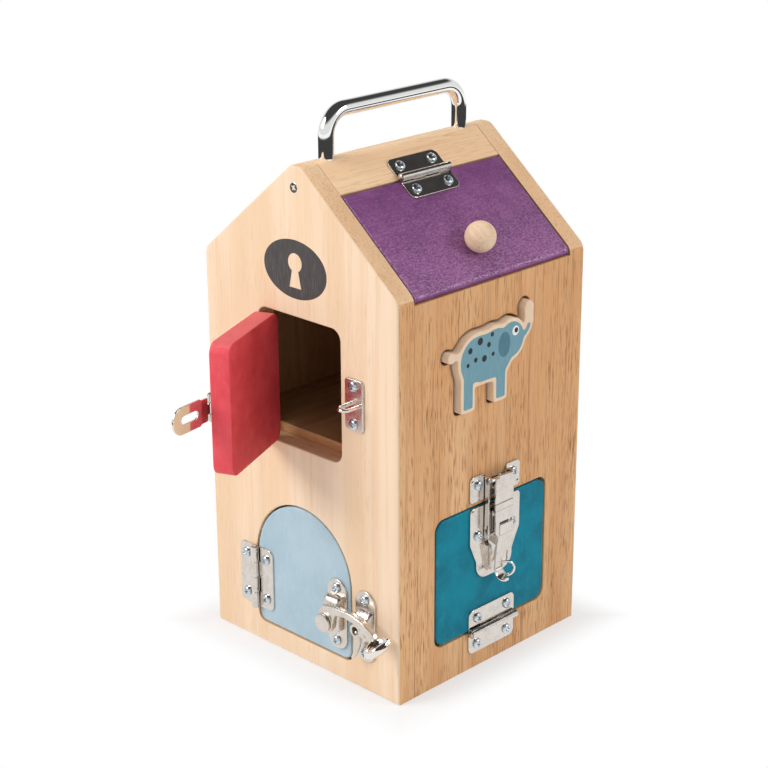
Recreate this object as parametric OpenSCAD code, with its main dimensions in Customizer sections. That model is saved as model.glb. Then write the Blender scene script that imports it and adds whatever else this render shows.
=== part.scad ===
// Lock box: a wooden house with three doors, a roof hatch, four kinds of catch and a loose figure.
// Millimetres. The front gable faces -Y, up is +Z, and the origin is the centre of the base.

/* [House] */
// Width and depth of the square house
body_w = 160; // [152:1:190]
// Height of the eaves
eave_z = 247.5; // [245:0.5:280]
// Pitch of both roof slopes in degrees
roof_pitch = 39.8; // [37:0.1:42]
// Thickness of the gables and side walls
panel_t = 13; // [12:0.5:15]
// Thickness of the roof boards
roof_t = 10; // [8:0.5:11]
// Width of the flat along the ridge
ridge_flat = 8.8; // [8:0.1:11]
// Radius of the eave corners of the gables
eave_r = 8; // [4:0.5:10]
// Slope length from the sharp ridge line to the hatch seam
ridge_s = 29.4; // [28:0.2:34]
// Thickness of both floor boards
floor_t = 12; // [9:0.5:13]
// Height of the top face of the upper floor
shelf_z = 145.6; // [142:0.2:149]

/* [Doors] */
// Gap around each door and the hatch
door_gap = 0.9; // [0.7:0.1:1.2]
// Thickness of the door boards
door_t = 12.5; // [10:0.5:12.5]
// Corner radius of the square openings
door_r = 7; // [4:0.5:9]
// Width of the red door's opening
red_w = 69; // [66:0.5:72]
// Height of the red door's opening
red_h = 81.5; // [72:0.5:84]
// Height of the red opening's lower edge
red_z = 140; // [138:0.5:141.5]
// Angle the red door stands open at rest
red_open = 66.5; // [40:0.5:75]
// Width of the arched opening
arch_w = 83; // [80:0.5:83]
// Height of the arched opening to its crown
arch_h = 88.5; // [84:0.5:96]
// Height of the arched opening's lower edge
arch_z = 13.5; // [13.5:0.5:18]
// Width of the teal door's opening
teal_w = 99.2; // [70:0.2:106]
// Height of the teal door's opening
teal_h = 83; // [82.6:0.1:83.4]
// Height of the teal opening's lower edge
teal_z = 24.5; // [24.2:0.1:24.8]

/* [Hinges and screws] */
// Length of each butt hinge
hinge_len = 41; // [36:0.5:46]
// Width of each butt hinge laid open
hinge_w = 29; // [27:0.5:31]
// Thickness of the hinge leaves
leaf_t = 1.2; // [1:0.1:1.4]
// Outside diameter of the hinge knuckles
knuckle_d = 4.8; // [4.4:0.1:5.4]
// Diameter of the hinge pins
pin_d = 2.4; // [1.8:0.1:2.6]
// Diameter of the screw heads
head_d = 6.4; // [5:0.1:6.8]
// Diameter of the screw shanks
screw_d = 3; // [2.4:0.1:3.2]
// Length of the screw shanks
screw_len = 9; // [6:0.5:10]

/* [Hasp] */
// Width of the hasp strap
strap_w = 15.7; // [14:0.1:18]
// Length of the strap beyond its knuckle
strap_len = 34; // [32:0.5:40]
// Length of the strap's slot
slot_len = 14; // [13.6:0.1:16]
// Width of the strap's slot
slot_w = 5; // [4.6:0.1:6]
// Angle the strap stands off the door plane at rest
strap_open = 9.5; // [6:0.5:14]
// Diameter of the staple's wire
staple_d = 2.2; // [1.8:0.1:2.4]
// Height of the staple loop above the panel
staple_h = 13.8; // [11:0.2:14.4]

/* [Lever catch] */
// Width of the lever catch's two plates
catch_w = 16; // [14:0.2:17]
// Length of the lever catch's two plates
catch_len = 46; // [43:0.5:50]
// Thickness of the lever
lever_t = 3.4; // [2.6:0.1:3.6]
// Height of the lever's rear face above the door
lever_out = 8.3; // [7.8:0.1:9]
// Distance from the pivot to the middle of the thumb rest
lever_reach = 42.8; // [40:0.2:48]
// Outer radius of the thumb rest
thumb_r = 6.5; // [5.5:0.1:7.5]

/* [Toggle catch] */
// Width of the toggle's base and strike plates
toggle_w = 44; // [40:0.5:48]
// Height of the toggle lever's outer face above the door
toggle_out = 8.6; // [8.4:0.1:9.4]
// Diameter of the pull ring
ring_d = 10.7; // [9.4:0.1:12]

/* [Handle and knob] */
// Distance between the centres of the handle's legs
handle_span = 111; // [96:1:116]
// Diameter of the handle bar
handle_d = 9; // [8:0.2:10]
// Height of the handle's top above the ridge
handle_rise = 31.4; // [28:0.2:40]
// Bend radius of the handle bar's centre line
handle_bend = 14.3; // [10:0.2:18]
// Diameter of the ball knob
knob_d = 18.4; // [16:0.2:24]
// Slope length from the sharp ridge line to the knob
knob_s = 83.5; // [70:0.5:88]

/* [Figure] */
// Length of the loose figure
figure_len = 73.5; // [66:0.5:78]
// Thickness of the loose figure
figure_t = 17.5; // [14:0.5:20]
// Gap between the figure and its hole
figure_gap = 1.2; // [0.6:0.1:1.6]

/* [Hidden] */
$fn = 32;
half = body_w / 2;
inner = half - panel_t;
apex_z = eave_z + half * tan(roof_pitch);
wall_z = eave_z - 4.1;
slope_x = cos(roof_pitch);
slope_z = sin(roof_pitch);
knuckle_r = knuckle_d / 2;
axis_out = knuckle_r + 0.35;
run = 0.05;
screw_across = hinge_w * 0.3;
screw_along = hinge_len * 0.324;
pilot_r = screw_d / 2 + 0.1;
cap_h = 2;
red_x = -red_w / 2 + door_gap / 2;
red_cz = red_z + red_h / 2;
arch_x = -arch_w / 2 + door_gap / 2;
arch_cz = 44;
teal_axis = teal_z + door_gap / 2;
lid_s = ridge_s + door_gap / 2;
staple_x = 46.4;
staple_z = 180.4;
hasp_x = staple_x - strap_len * 0.58;
hasp_leaf_x = hasp_x - 21.5;
catch_z = 43;
latch_x = arch_w / 2 - 11.3;
keeper_x = arch_w / 2 + 12.3;
plate_t = 1.5;
catch_screw = catch_len / 2 - 5.7;
lever_z = 41.5;
post_z = 43.3;
neck_r = 2.6;
toggle_y = 1.5;
teal_top = teal_z + teal_h;
strike_z = teal_top + 12.8;
strike_screw = toggle_w / 2 - 6.8;
base_screw_z = teal_top - 19.7;
toggle_t = 1.2;
p1 = [teal_top - 6.5, 5];
p2 = [p1[0] - 14, 3.6];
ring_at = [3.4, p1[0] - 33.8];
claw_top = strike_z + 6.7;
claw_half = 9.5;
ring_wire = 0.7;
figure_y = -44.5;
figure_z = 170.7;
figure_k = figure_len / 79;
figure_out = 4.5;
knob_y = -1.8;
gable_screw_x = -1.2;
gable_screw_len = half - handle_span / 2 - 4.5;

wood = [0.93, 0.76, 0.55];
steel = [0.80, 0.80, 0.80];
zinc = [0.70, 0.74, 0.78];

// Faces of the house as flat drawing boards: x across, y up or along, z out of the face
module on_front() translate([0, -half, 0]) rotate([90, 0, 0]) children();
module on_back() translate([0, half, 0]) rotate([90, 0, 180]) children();
module on_side() translate([half, 0, 0]) rotate([90, 0, 90]) children();
module on_roof() translate([0, 0, apex_z]) rotate([0, roof_pitch, 0]) children();

// Rest pose of the red door and of the strap on it
module red_pose() {
  translate([red_x, -half - axis_out, 0]) rotate([0, 0, -red_open])
    translate([-red_x, half + axis_out, 0]) children();
}
module strap_pose() {
  red_pose() translate([hasp_x, -half - axis_out, 0]) rotate([0, 0, -strap_open])
    translate([-hasp_x, half + axis_out, 0]) children();
}

// Outline with each corner rounded by its own radius
function unit(v) = v / norm(v);
function corner(p, c, q, r) =
  let (a = unit(p - c), b = unit(q - c))
  let (h = acos(a * b) / 2, o = c + unit(a + b) * r / sin(h))
  let (s = c + a * r / tan(h) - o, e = c + b * r / tan(h) - o)
  let (a0 = atan2(s[1], s[0]), a1 = atan2(e[1], e[0]))
  let (turn = ((a1 - a0 + 540) % 360) - 180)
  [for (i = [0 : 8]) o + r * [cos(a0 + turn * i / 8), sin(a0 + turn * i / 8)]];
function rounded(pts, radii) =
  let (n = len(pts))
  [for (i = [0 : n - 1]) each radii[i] == 0 ? [pts[i]]
    : corner(pts[(i + n - 1) % n], pts[i], pts[(i + 1) % n], radii[i])];
function box_pts(x0, y0, x1, y1, r) =
  rounded([[x0, y0], [x1, y0], [x1, y1], [x0, y1]], [r, r, r, r]);

module gable_outline() {
  top = apex_z - ridge_flat / 2 * tan(roof_pitch);
  polygon(rounded(
    [[-half, 0], [half, 0], [half, eave_z], [ridge_flat / 2, top], [-ridge_flat / 2, top], [-half, eave_z]],
    [3, 3, eave_r, 6, 6, eave_r]));
}
module red_outline(g) {
  polygon(box_pts(-red_w / 2 + g, red_z + g, red_w / 2 - g, red_z + red_h - g, door_r));
}
module arch_outline(g) {
  r = arch_w / 2 - g;
  spring = arch_z + arch_h - arch_w / 2;
  translate([0, spring]) circle(r, $fn = 96);
  polygon(rounded([[-r, arch_z + g], [r, arch_z + g], [r, spring], [-r, spring]], [6, 6, 0, 0]));
}
module teal_outline(g) {
  polygon(box_pts(-teal_w / 2 + g, teal_z + g, teal_w / 2 - g, teal_z + teal_h - g, door_r));
}

// Side view of an elephant with a raised trunk, grown by g all round
module figure_outline(g) {
  k = figure_k;
  translate([figure_y, figure_z]) {
    translate([26, 33] * k) circle(17 * k + g, $fn = 64);
    translate([44, 33] * k) circle(18 * k + g, $fn = 64);
    translate([58, 38] * k) circle(14 * k + g, $fn = 64);
    translate([26 * k - g, 15 * k - g]) square([18 * k + 2 * g, 35 * k + 2 * g]);
    translate([12 * k - g, -g]) square([13 * k + 2 * g, 30 * k + 2 * g]);
    translate([42 * k - g, -g]) square([13 * k + 2 * g, 30 * k + 2 * g]);
    translate([3.4, 39] * k) circle(3.4 * k + g);
    translate([3.4 * k - g, 37 * k - g]) square([10 * k + 2 * g, 4 * k + 2 * g]);
    difference() {
      translate([66, 47] * k) circle(13 * k + g, $fn = 64);
      translate([66, 47] * k) circle(5 * k - g);
      translate([52 * k, 47 * k]) square([40 * k, 40 * k]);
      translate([40 * k, 20 * k]) square([26 * k, 40 * k]);
    }
    translate([71 * k - g, 46.8 * k]) square([8 * k + 2 * g, 9 * k]);
    translate([75, 55.8] * k) circle(4 * k + g);
  }
}

// Pan-head screw with a cross recess; its head stands on z = 0
module screw(length) {
  difference() {
    rotate_extrude($fn = 20)
      polygon([[0, -length], [screw_d / 2, -length], [screw_d / 2, 0], [head_d / 2, 0],
        [head_d / 2, 0.7], [head_d * 0.38, 1.6], [head_d * 0.18, cap_h], [0, cap_h]]);
    translate([-1.8, -0.4, cap_h - 1]) cube([3.6, 0.8, 2]);
    translate([-0.4, -1.8, cap_h - 1]) cube([0.8, 3.6, 2]);
  }
}
// Flat-head screw, flush at z = 0, and the hole sunk for its head
module flat_screw(length) {
  difference() {
    rotate_extrude($fn = 24)
      polygon([[0, -length], [screw_d / 2, -length], [screw_d / 2, -1.8], [head_d / 2 - 0.1, -0.3],
        [head_d / 2 - 0.1, 0], [0, 0]]);
    translate([-1.8, -0.4, -1]) cube([3.6, 0.8, 2]);
    translate([-0.4, -1.8, -1]) cube([0.8, 3.6, 2]);
  }
}
module sunk_hole() {
  rotate_extrude($fn = 24)
    polygon([[0, -2], [pilot_r, -2], [head_d / 2, -0.35], [head_d / 2, 1], [0, 1]]);
}
module screws_at(points, out) {
  for (p = points) translate([p[0], p[1], out]) rotate(25) screw(screw_len);
}
module pilots_at(points) {
  for (p = points) translate([p[0], p[1], -screw_len]) cylinder(r = pilot_r, h = screw_len + 1);
}

// Butt hinge: axis along y, fixed leaf on -x, moving leaf on +x
module knuckle(y0, y1, side) {
  translate([0, y1, axis_out]) rotate([90, 0, 0]) cylinder(r = knuckle_r, h = y1 - y0);
  translate([0, y1, 0]) rotate([90, 0, 0]) linear_extrude(y1 - y0)
    polygon([[0, 0], [side * (knuckle_r + 1.2), 0], [side * (knuckle_r + 1.2), leaf_t],
      [side * knuckle_r * 0.95, leaf_t + 0.9], [0, axis_out]]);
}
module hinge_bore() {
  translate([0, hinge_len, axis_out]) rotate([90, 0, 0])
    cylinder(r = pin_d / 2 + run, h = 2 * hinge_len);
}
module hinge_leaf(side) {
  part = hinge_len / 4;
  first = side < 0 ? 0 : 1;
  difference() {
    union() {
      linear_extrude(leaf_t) intersection() {
        polygon(box_pts(-hinge_w / 2, -hinge_len / 2, hinge_w / 2, hinge_len / 2, 4));
        translate([side < 0 ? -hinge_w : knuckle_r + 0.5, -hinge_len])
          square([hinge_w - knuckle_r - 0.5, 2 * hinge_len]);
      }
      for (i = [first, first + 2])
        knuckle(-hinge_len / 2 + i * part + 0.15, -hinge_len / 2 + (i + 1) * part - 0.15, side);
    }
    hinge_bore();
    for (y = [-screw_along, screw_along])
      translate([side * screw_across, y, -1]) cylinder(r = pilot_r, h = 4);
  }
}
module hinge_pin() {
  reach = hinge_len / 2 + 0.2;
  translate([0, 0, axis_out]) rotate([90, 0, 0]) {
    cylinder(r = pin_d / 2, h = 2 * reach, center = true);
    for (s = [-1, 1])
      translate([0, 0, s * (reach + 0.3)]) cylinder(r = pin_d / 2 + 0.6, h = 0.6, center = true);
  }
}
function hinge_points(side) = [for (y = [-screw_along, screw_along]) [side * screw_across, y]];

module place_red() translate([red_x, red_cz, 0]) children();
module place_arch() translate([arch_x, arch_cz, 0]) children();
module place_teal() translate([0, teal_axis, 0]) rotate(90) children();
module place_lid() translate([lid_s, 0, 0]) children();

staple_points = [for (s = [-1, 1]) [staple_x, staple_z + s * 11.7]];
keeper_points = [for (s = [-1, 1]) [keeper_x, catch_z + s * catch_screw]];
latch_points = [for (s = [-1, 1]) [latch_x, catch_z + s * catch_screw]];
hasp_points = [for (s = [-1, 1]) [hasp_leaf_x + 6, staple_z + s * 6.6]];
strike_points = [for (s = [-1, 1]) [toggle_y + s * strike_screw, strike_z]];
base_points = [for (s = [-1, 1]) [toggle_y + s * strike_screw, base_screw_z]];

// Carcass
module gable_bores() {
  at_gable_screw() {
    translate([0, 0, -panel_t - 1]) cylinder(r = pilot_r, h = panel_t + 2);
    sunk_hole();
  }
}
module at_gable_screw() translate([gable_screw_x, apex_z - 16.3, 0]) children();
module ridge_bore() at_gable_screw() translate([0, 0, -gable_screw_len - 1])
  cylinder(r = pilot_r, h = gable_screw_len - panel_t + 2);
module front_gable() color(wood) on_front() difference() {
  translate([0, 0, -panel_t]) linear_extrude(panel_t) difference() {
    gable_outline();
    red_outline(0);
    arch_outline(0);
  }
  gable_bores();
  pilots_at(staple_points);
  pilots_at(keeper_points);
  place_red() pilots_at(hinge_points(-1));
  place_arch() pilots_at(hinge_points(-1));
}
module back_gable() color(wood) on_back() difference() {
  translate([0, 0, -panel_t]) linear_extrude(panel_t) gable_outline();
  gable_bores();
}
module left_wall() color(wood) {
  translate([-half, -inner, 0]) cube([panel_t, 2 * inner, wall_z]);
}
module right_wall() color(wood) on_side() difference() {
  translate([0, 0, -panel_t]) linear_extrude(panel_t) difference() {
    translate([-inner, 0]) square([2 * inner, wall_z]);
    teal_outline(0);
    figure_outline(figure_gap);
  }
  pilots_at(strike_points);
  place_teal() pilots_at(hinge_points(-1));
}
module floor_board() translate([-inner, -inner, 0]) cube([2 * inner, 2 * inner, floor_t]);
module lower_floor() color(wood) floor_board();
module upper_floor() color(wood) translate([0, 0, shelf_z - floor_t]) floor_board();

function on_slope(s, depth) = [s * slope_x - depth * slope_z, apex_z - s * slope_z - depth * slope_x];
module ridge_outline() {
  p = on_slope(ridge_s, 0);
  q = on_slope(ridge_s, roof_t);
  intersection() {
    gable_outline();
    polygon([q, p, [p[0], apex_z + 9], [-p[0], apex_z + 9], [-p[0], p[1]], [-q[0], q[1]]]);
  }
}
module ridge_block() color(wood) difference() {
  rotate([90, 0, 0]) translate([0, 0, -inner]) linear_extrude(2 * inner) ridge_outline();
  on_front() ridge_bore();
  on_back() ridge_bore();
  for (y = [-1, 1])
    translate([0, y * handle_span / 2, apex_z - 60]) cylinder(r = 2.1, h = 80);
  on_roof() place_lid() pilots_at(hinge_points(-1));
}

// Roof board from the ridge seam to the wall top, as a section in x and z
module roof_section(s0, rest_z) {
  a = on_slope(s0, 0);
  b = on_slope(s0, roof_t);
  end = half - 0.5;
  fall = tan(roof_pitch);
  lip = [end, eave_z + 0.5 * fall];
  foot = half - (rest_z + roof_t / slope_x - eave_z) / fall;
  polygon([a, b, [foot, rest_z], [end, rest_z], lip]);
}
module left_roof() color(wood) mirror([1, 0, 0])
  rotate([90, 0, 0]) translate([0, 0, -inner]) linear_extrude(2 * inner)
    roof_section(ridge_s, wall_z);
module roof_lid() color([0.50, 0.30, 0.52]) difference() {
  rotate([90, 0, 0]) translate([0, 0, -inner + 1]) linear_extrude(2 * inner - 2)
    roof_section(ridge_s + door_gap, wall_z + 0.8);
  on_roof() place_lid() pilots_at(hinge_points(1));
  on_roof() translate([knob_s, knob_y, -roof_t - 1]) cylinder(r = pilot_r, h = roof_t + 2);
}

// Handle, its screws and the gable screws
function ridge_top() = apex_z - ridge_flat / 2 * tan(roof_pitch);
module handle() color(steel) difference() {
  union() {
    y = handle_span / 2 - handle_bend;
    z = ridge_top() + handle_rise - handle_d / 2 - handle_bend;
    for (s = [-1, 1]) {
      translate([0, s * handle_span / 2, ridge_top()])
        cylinder(d = handle_d, h = z - ridge_top());
      translate([0, s * y, z]) rotate([90, 0, s * 90]) rotate_extrude(angle = 90, $fn = 64)
        translate([handle_bend, 0]) circle(d = handle_d);
    }
    translate([0, 0, z + handle_bend]) rotate([90, 0, 0])
      cylinder(d = handle_d, h = 2 * y, center = true);
  }
  for (s = [-1, 1])
    translate([0, s * handle_span / 2, ridge_top() - 1]) cylinder(r = 2.1, h = 10);
}
module handle_screws() color(zinc) {
  low = on_slope(ridge_s, roof_t)[1];
  for (s = [-1, 1]) translate([0, s * handle_span / 2, low]) {
    translate([0, 0, -2.4]) cylinder(d = 7.6, h = 2.4);
    cylinder(r = 2, h = ridge_top() - low + 8);
  }
}
module gable_screws() color(zinc) {
  on_front() at_gable_screw() flat_screw(gable_screw_len);
  on_back() at_gable_screw() flat_screw(gable_screw_len);
}
module house_screws() color(zinc) {
  on_front() {
    screws_at(staple_points, leaf_t);
    screws_at(keeper_points, plate_t);
    place_red() screws_at(hinge_points(-1), leaf_t);
    place_arch() screws_at(hinge_points(-1), leaf_t);
  }
  on_side() {
    screws_at(strike_points, leaf_t);
    place_teal() screws_at(hinge_points(-1), leaf_t);
  }
  on_roof() place_lid() screws_at(hinge_points(-1), leaf_t);
}

// Red door with its hinge and hasp
module red_frame_leaf() color(steel) on_front() place_red() hinge_leaf(-1);
module red_hinge_pin() color(steel) on_front() place_red() hinge_pin();
module red_door() color([0.85, 0.25, 0.30]) red_pose() on_front() difference() {
  translate([0, 0, -door_t]) linear_extrude(door_t) red_outline(door_gap);
  place_red() pilots_at(hinge_points(1));
  pilots_at(hasp_points);
}
module red_door_leaf() color(steel) red_pose() on_front() place_red() hinge_leaf(1);
module red_door_screws() color(zinc) red_pose() on_front() {
  place_red() screws_at(hinge_points(1), leaf_t);
  screws_at(hasp_points, leaf_t);
}
module hasp_bore() {
  translate([hasp_x, staple_z + strap_w, axis_out]) rotate([90, 0, 0])
    cylinder(r = pin_d / 2 + run, h = 2 * strap_w);
}
module hasp_leaf() color(steel) red_pose() on_front() difference() {
  union() {
    linear_extrude(leaf_t)
      polygon(box_pts(hasp_leaf_x, staple_z - 11, hasp_x - knuckle_r - 0.5, staple_z + 11, 2));
    for (s = [-1, 1]) translate([hasp_x, staple_z + s * strap_w * 0.36, 0])
      knuckle(-strap_w * 0.13, strap_w * 0.13, -1);
  }
  hasp_bore();
  for (p = hasp_points) translate([p[0], p[1], -1]) cylinder(r = pilot_r, h = 4);
}
module hasp_pin() color(steel) red_pose() on_front() {
  translate([hasp_x, staple_z, axis_out]) rotate([90, 0, 0]) {
    cylinder(r = pin_d / 2, h = strap_w + 0.4, center = true);
    for (s = [-1, 1]) translate([0, 0, s * (strap_w / 2 + 0.5)])
      cylinder(r = pin_d / 2 + 0.6, h = 0.6, center = true);
  }
}
module hasp_strap() color(steel) strap_pose() on_front() difference() {
  union() {
    translate([0, 0, axis_out - leaf_t / 2]) linear_extrude(leaf_t) difference() {
      union() {
        translate([hasp_x + strap_len - strap_w / 2, staple_z]) circle(d = strap_w, $fn = 48);
        translate([hasp_x + knuckle_r + 0.6, staple_z - strap_w / 2])
          square([strap_len - strap_w / 2 - knuckle_r - 0.6, strap_w]);
        translate([hasp_x, staple_z - strap_w * 0.2]) square([8, strap_w * 0.4]);
      }
      for (s = [-1, 1]) translate([staple_x + s * (slot_len - slot_w) / 2, staple_z])
        circle(d = slot_w, $fn = 24);
      translate([staple_x, staple_z]) square([slot_len - slot_w, slot_w], center = true);
    }
    translate([hasp_x, staple_z, axis_out]) rotate([90, 0, 0])
      cylinder(r = knuckle_r, h = strap_w * 0.42, center = true);
  }
  hasp_bore();
}
module staple_plate() color(steel) on_front() difference() {
  linear_extrude(leaf_t)
    polygon(box_pts(staple_x - 7.2, staple_z - 15.6, staple_x + 7.2, staple_z + 15.6, 2.5));
  for (p = staple_points) translate([p[0], p[1], -1]) cylinder(r = pilot_r, h = 4);
}
module staple_loop() color(steel) on_front() {
  bend = 4.2;
  top = staple_h - staple_d / 2 - bend;
  translate([staple_x, staple_z, 0]) {
    for (s = [-1, 1])
      translate([s * bend, 0, leaf_t]) cylinder(d = staple_d, h = top - leaf_t, $fn = 20);
    translate([0, 0, top]) rotate([90, 0, 0]) rotate_extrude(angle = 180, $fn = 40)
      translate([bend, 0]) circle(d = staple_d, $fn = 20);
  }
}

// Arched door with its hinge and lever catch
module arch_frame_leaf() color(steel) on_front() place_arch() hinge_leaf(-1);
module arch_hinge_pin() color(steel) on_front() place_arch() hinge_pin();
module arch_door() color([0.70, 0.80, 0.84]) on_front() difference() {
  translate([0, 0, -door_t]) linear_extrude(door_t) arch_outline(door_gap);
  place_arch() pilots_at(hinge_points(1));
  pilots_at(latch_points);
}
module arch_door_leaf() color(steel) on_front() place_arch() hinge_leaf(1);
module arch_door_screws() color(zinc) on_front() {
  place_arch() screws_at(hinge_points(1), leaf_t);
  screws_at(latch_points, plate_t);
}
module catch_plate(x, points) {
  straight = catch_len / 2 - catch_w / 2;
  difference() {
    linear_extrude(plate_t) {
      for (s = [-1, 1]) translate([x, catch_z + s * straight]) circle(d = catch_w, $fn = 48);
      translate([x - catch_w / 2, catch_z - straight]) square([catch_w, 2 * straight]);
    }
    for (p = points) translate([p[0], p[1], -1]) cylinder(r = pilot_r, h = 4);
  }
}
module latch_plate() color(steel) on_front() catch_plate(latch_x, latch_points);
module latch_post() color(steel) on_front() translate([latch_x, lever_z, plate_t])
  rotate_extrude($fn = 40) {
    shoulder = lever_out - 0.3 - plate_t;
    cap = shoulder + lever_t + 0.8;
    polygon([[0, 0], [5, 0], [5, shoulder], [neck_r, shoulder], [neck_r, cap], [4.6, cap],
      [4.6, cap + 1], [3.6, cap + 1.9], [0, cap + 2.1]]);
  }
module lever_bar() scale([lever_reach / 42.8, 1])
  polygon(rounded(
    [[-4.6, -2], [5.6, -2], [8.2, 7], [16.5, 8.6], [27.5, 6.8], [34.6, 2.8], [36.6, 0], [39.2, 0],
      [40.4, 4.6], [39.6, 6], [32.1, 10.3], [21.2, 12.8], [8, 12.4], [-2.2, 10.6], [-4.6, 6.6]],
    [0.5, 0.5, 3, 6, 6, 2, 0, 0, 0.5, 1.5, 10, 10, 10, 2, 2]));
module latch_lever() color(steel) on_front() translate([latch_x, lever_z, lever_out]) {
  difference() {
    linear_extrude(lever_t) {
      circle(6.4, $fn = 40);
      lever_bar();
      translate([keeper_x - latch_x + 5.8, 0.5]) square([2.8, 8]);
    }
    translate([0, 0, -1]) cylinder(r = neck_r + run, h = lever_t + 2);
  }
  translate([lever_reach, 2, -4.3]) linear_extrude(15) difference() {
    circle(thumb_r, $fn = 48);
    circle(thumb_r - 2.9, $fn = 48);
    translate([-20, 1]) square([40, 20]);
  }
}
module keeper_plate() color(steel) on_front() catch_plate(keeper_x, keeper_points);
module keeper_post() color(steel) on_front() translate([keeper_x, post_z, plate_t])
  rotate_extrude($fn = 32) {
    top = lever_out + 1.6 - plate_t;
    polygon([[0, 0], [3.6, 0], [3.6, top - 0.6], [3, top], [1.8, top], [1.8, top - 3], [0, top - 3]]);
  }

// Teal door with its hinge and toggle catch
module teal_wall_leaf() color(steel) on_side() place_teal() hinge_leaf(-1);
module teal_hinge_pin() color(steel) on_side() place_teal() hinge_pin();
module teal_door() color([0.10, 0.45, 0.53]) on_side() difference() {
  translate([0, 0, -door_t]) linear_extrude(door_t) teal_outline(door_gap);
  place_teal() pilots_at(hinge_points(1));
  pilots_at(base_points);
}
module teal_door_leaf() color(steel) on_side() place_teal() hinge_leaf(1);
module teal_door_screws() color(zinc) on_side() {
  place_teal() screws_at(hinge_points(1), leaf_t);
  screws_at(base_points, leaf_t);
}

// Toggle pieces are drawn about the toggle's middle line: x across, y up the door, z out of it
module on_toggle() on_side() translate([toggle_y, 0, 0]) children();
module across(p, r, length) {
  translate([0, p[0], p[1]]) rotate([0, 90, 0]) cylinder(r = r, h = length, center = true, $fn = 24);
}
// Flat cheek standing on edge: its outline is given as height up the door and distance out
module cheek(x, t) translate([x, 0, 0]) rotate([90, 0, 90]) linear_extrude(t) children();

module toggle_strike() color(steel) on_toggle() difference() {
  union() {
    linear_extrude(leaf_t)
      polygon(box_pts(-toggle_w / 2, strike_z - 10.8, toggle_w / 2, strike_z + 6.2, 3));
    cheek(-6, 12) translate([strike_z, 0])
      polygon([[-6.3, 0.5], [-3.3, 0.5], [-1.3, 2.9], [2.2, 2.9], [2.2, 4.2], [-2.3, 4.2]]);
  }
  for (s = [-1, 1]) translate([s * strike_screw, strike_z, -1]) cylinder(r = pilot_r, h = 4);
}
module toggle_base() color(steel) on_toggle() difference() {
  union() {
    translate([0, p1[0], 0]) linear_extrude(leaf_t) {
      w = toggle_w / 2 + 0.5;
      polygon(rounded([[-w, -18], [-16, -31], [-16, -42.5], [16, -42.5], [16, -31], [w, -18], [w, 5.3],
        [-w, 5.3]], [6, 5, 9, 9, 5, 6, 3, 3]));
    }
    for (x = [-7.4, 6.2]) cheek(x, 1.2) {
      translate(p1) circle(2.1, $fn = 32);
      translate([p1[0], 0])
        polygon([[-5, 0.5], [0.2, 0.5], [1.2, p1[1] - 1.7], [1.2, p1[1]], [-2, p1[1]]]);
    }
  }
  across(p1, 1.2 + run, 30);
  for (s = [-1, 1]) translate([s * strike_screw, base_screw_z, -1]) cylinder(r = pilot_r, h = 4);
}
module toggle_pin() color(steel) on_toggle() across(p1, 1.2, 15.2);
module toggle_lever() color(steel) on_toggle() difference() {
  union() {
    translate([0, p1[0], toggle_out - toggle_t]) linear_extrude(toggle_t)
      polygon(rounded([[-4.6, -37.4], [6.4, -37.4], [7, -31], [8.2, -17], [8.2, 1.5],
        [-8.2, 1.5], [-8.2, -17], [-6, -31]], [0, 3, 0, 6, 0.5, 0.5, 6, 0]));
    for (x = [-5.6, 4.4]) cheek(x, 1.2) {
      translate(p1) circle(2.8, $fn = 32);
      translate(p2) circle(1.9, $fn = 24);
      polygon([[p2[0] - 1.6, p2[1]], [p2[0] - 1.6, toggle_out - 0.6], [p1[0] + 1.4, toggle_out - 0.6],
        [p1[0] + 1.4, p1[1]], [p1[0] - 2, 2.7], [p2[0] + 1.2, 2.2]]);
    }
    translate([-5.2, p1[0] - 37.8, toggle_out + 1.4]) rotate([0, 90, 0]) difference() {
      cylinder(r = 2.6, h = 5.6, $fn = 32);
      translate([0, 0, -1]) cylinder(r = 1.3, h = 8, $fn = 24);
    }
  }
  across(p1, 1.2 + run, 30);
  across(p2, 1, 14);
  translate([ring_at[0], ring_at[1], 0]) cylinder(r = 2.2, h = 20, $fn = 24);
}
module claw_pin() color(steel) on_toggle() across(p2, 1, 20.6);
module toggle_claw() color(steel) on_toggle() difference() {
  union() {
    low = p1[0] + 2.2;
    translate([-claw_half, low, toggle_out - toggle_t]) cube([2 * claw_half, claw_top - low, toggle_t]);
    translate([-claw_half, claw_top - toggle_t, 5]) cube([2 * claw_half, toggle_t, toggle_out - 5]);
    for (x = [-claw_half, claw_half - toggle_t]) cheek(x, toggle_t)
      polygon(rounded([[p2[0] - 2.6, 1.7], [claw_top, 1.7], [claw_top, toggle_out], [low, toggle_out],
        [low, 5.7], [p2[0] - 2.6, 5.7]], [1.9, 1, 0.4, 0.4, 1, 1.9]));
  }
  translate([-8, p1[0] + 6, toggle_out - 0.4]) cube([16, 0.8, 2]);
  across(p2, 1 + run, 30);
}
module pull_ring() color(steel) on_toggle()
  translate([ring_at[0], ring_at[1] - ring_d / 2 + ring_wire, toggle_out - toggle_t / 2])
    rotate([0, -45, 0]) rotate_extrude($fn = 48)
      translate([ring_d / 2 - ring_wire, 0]) circle(ring_wire, $fn = 16);

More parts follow.
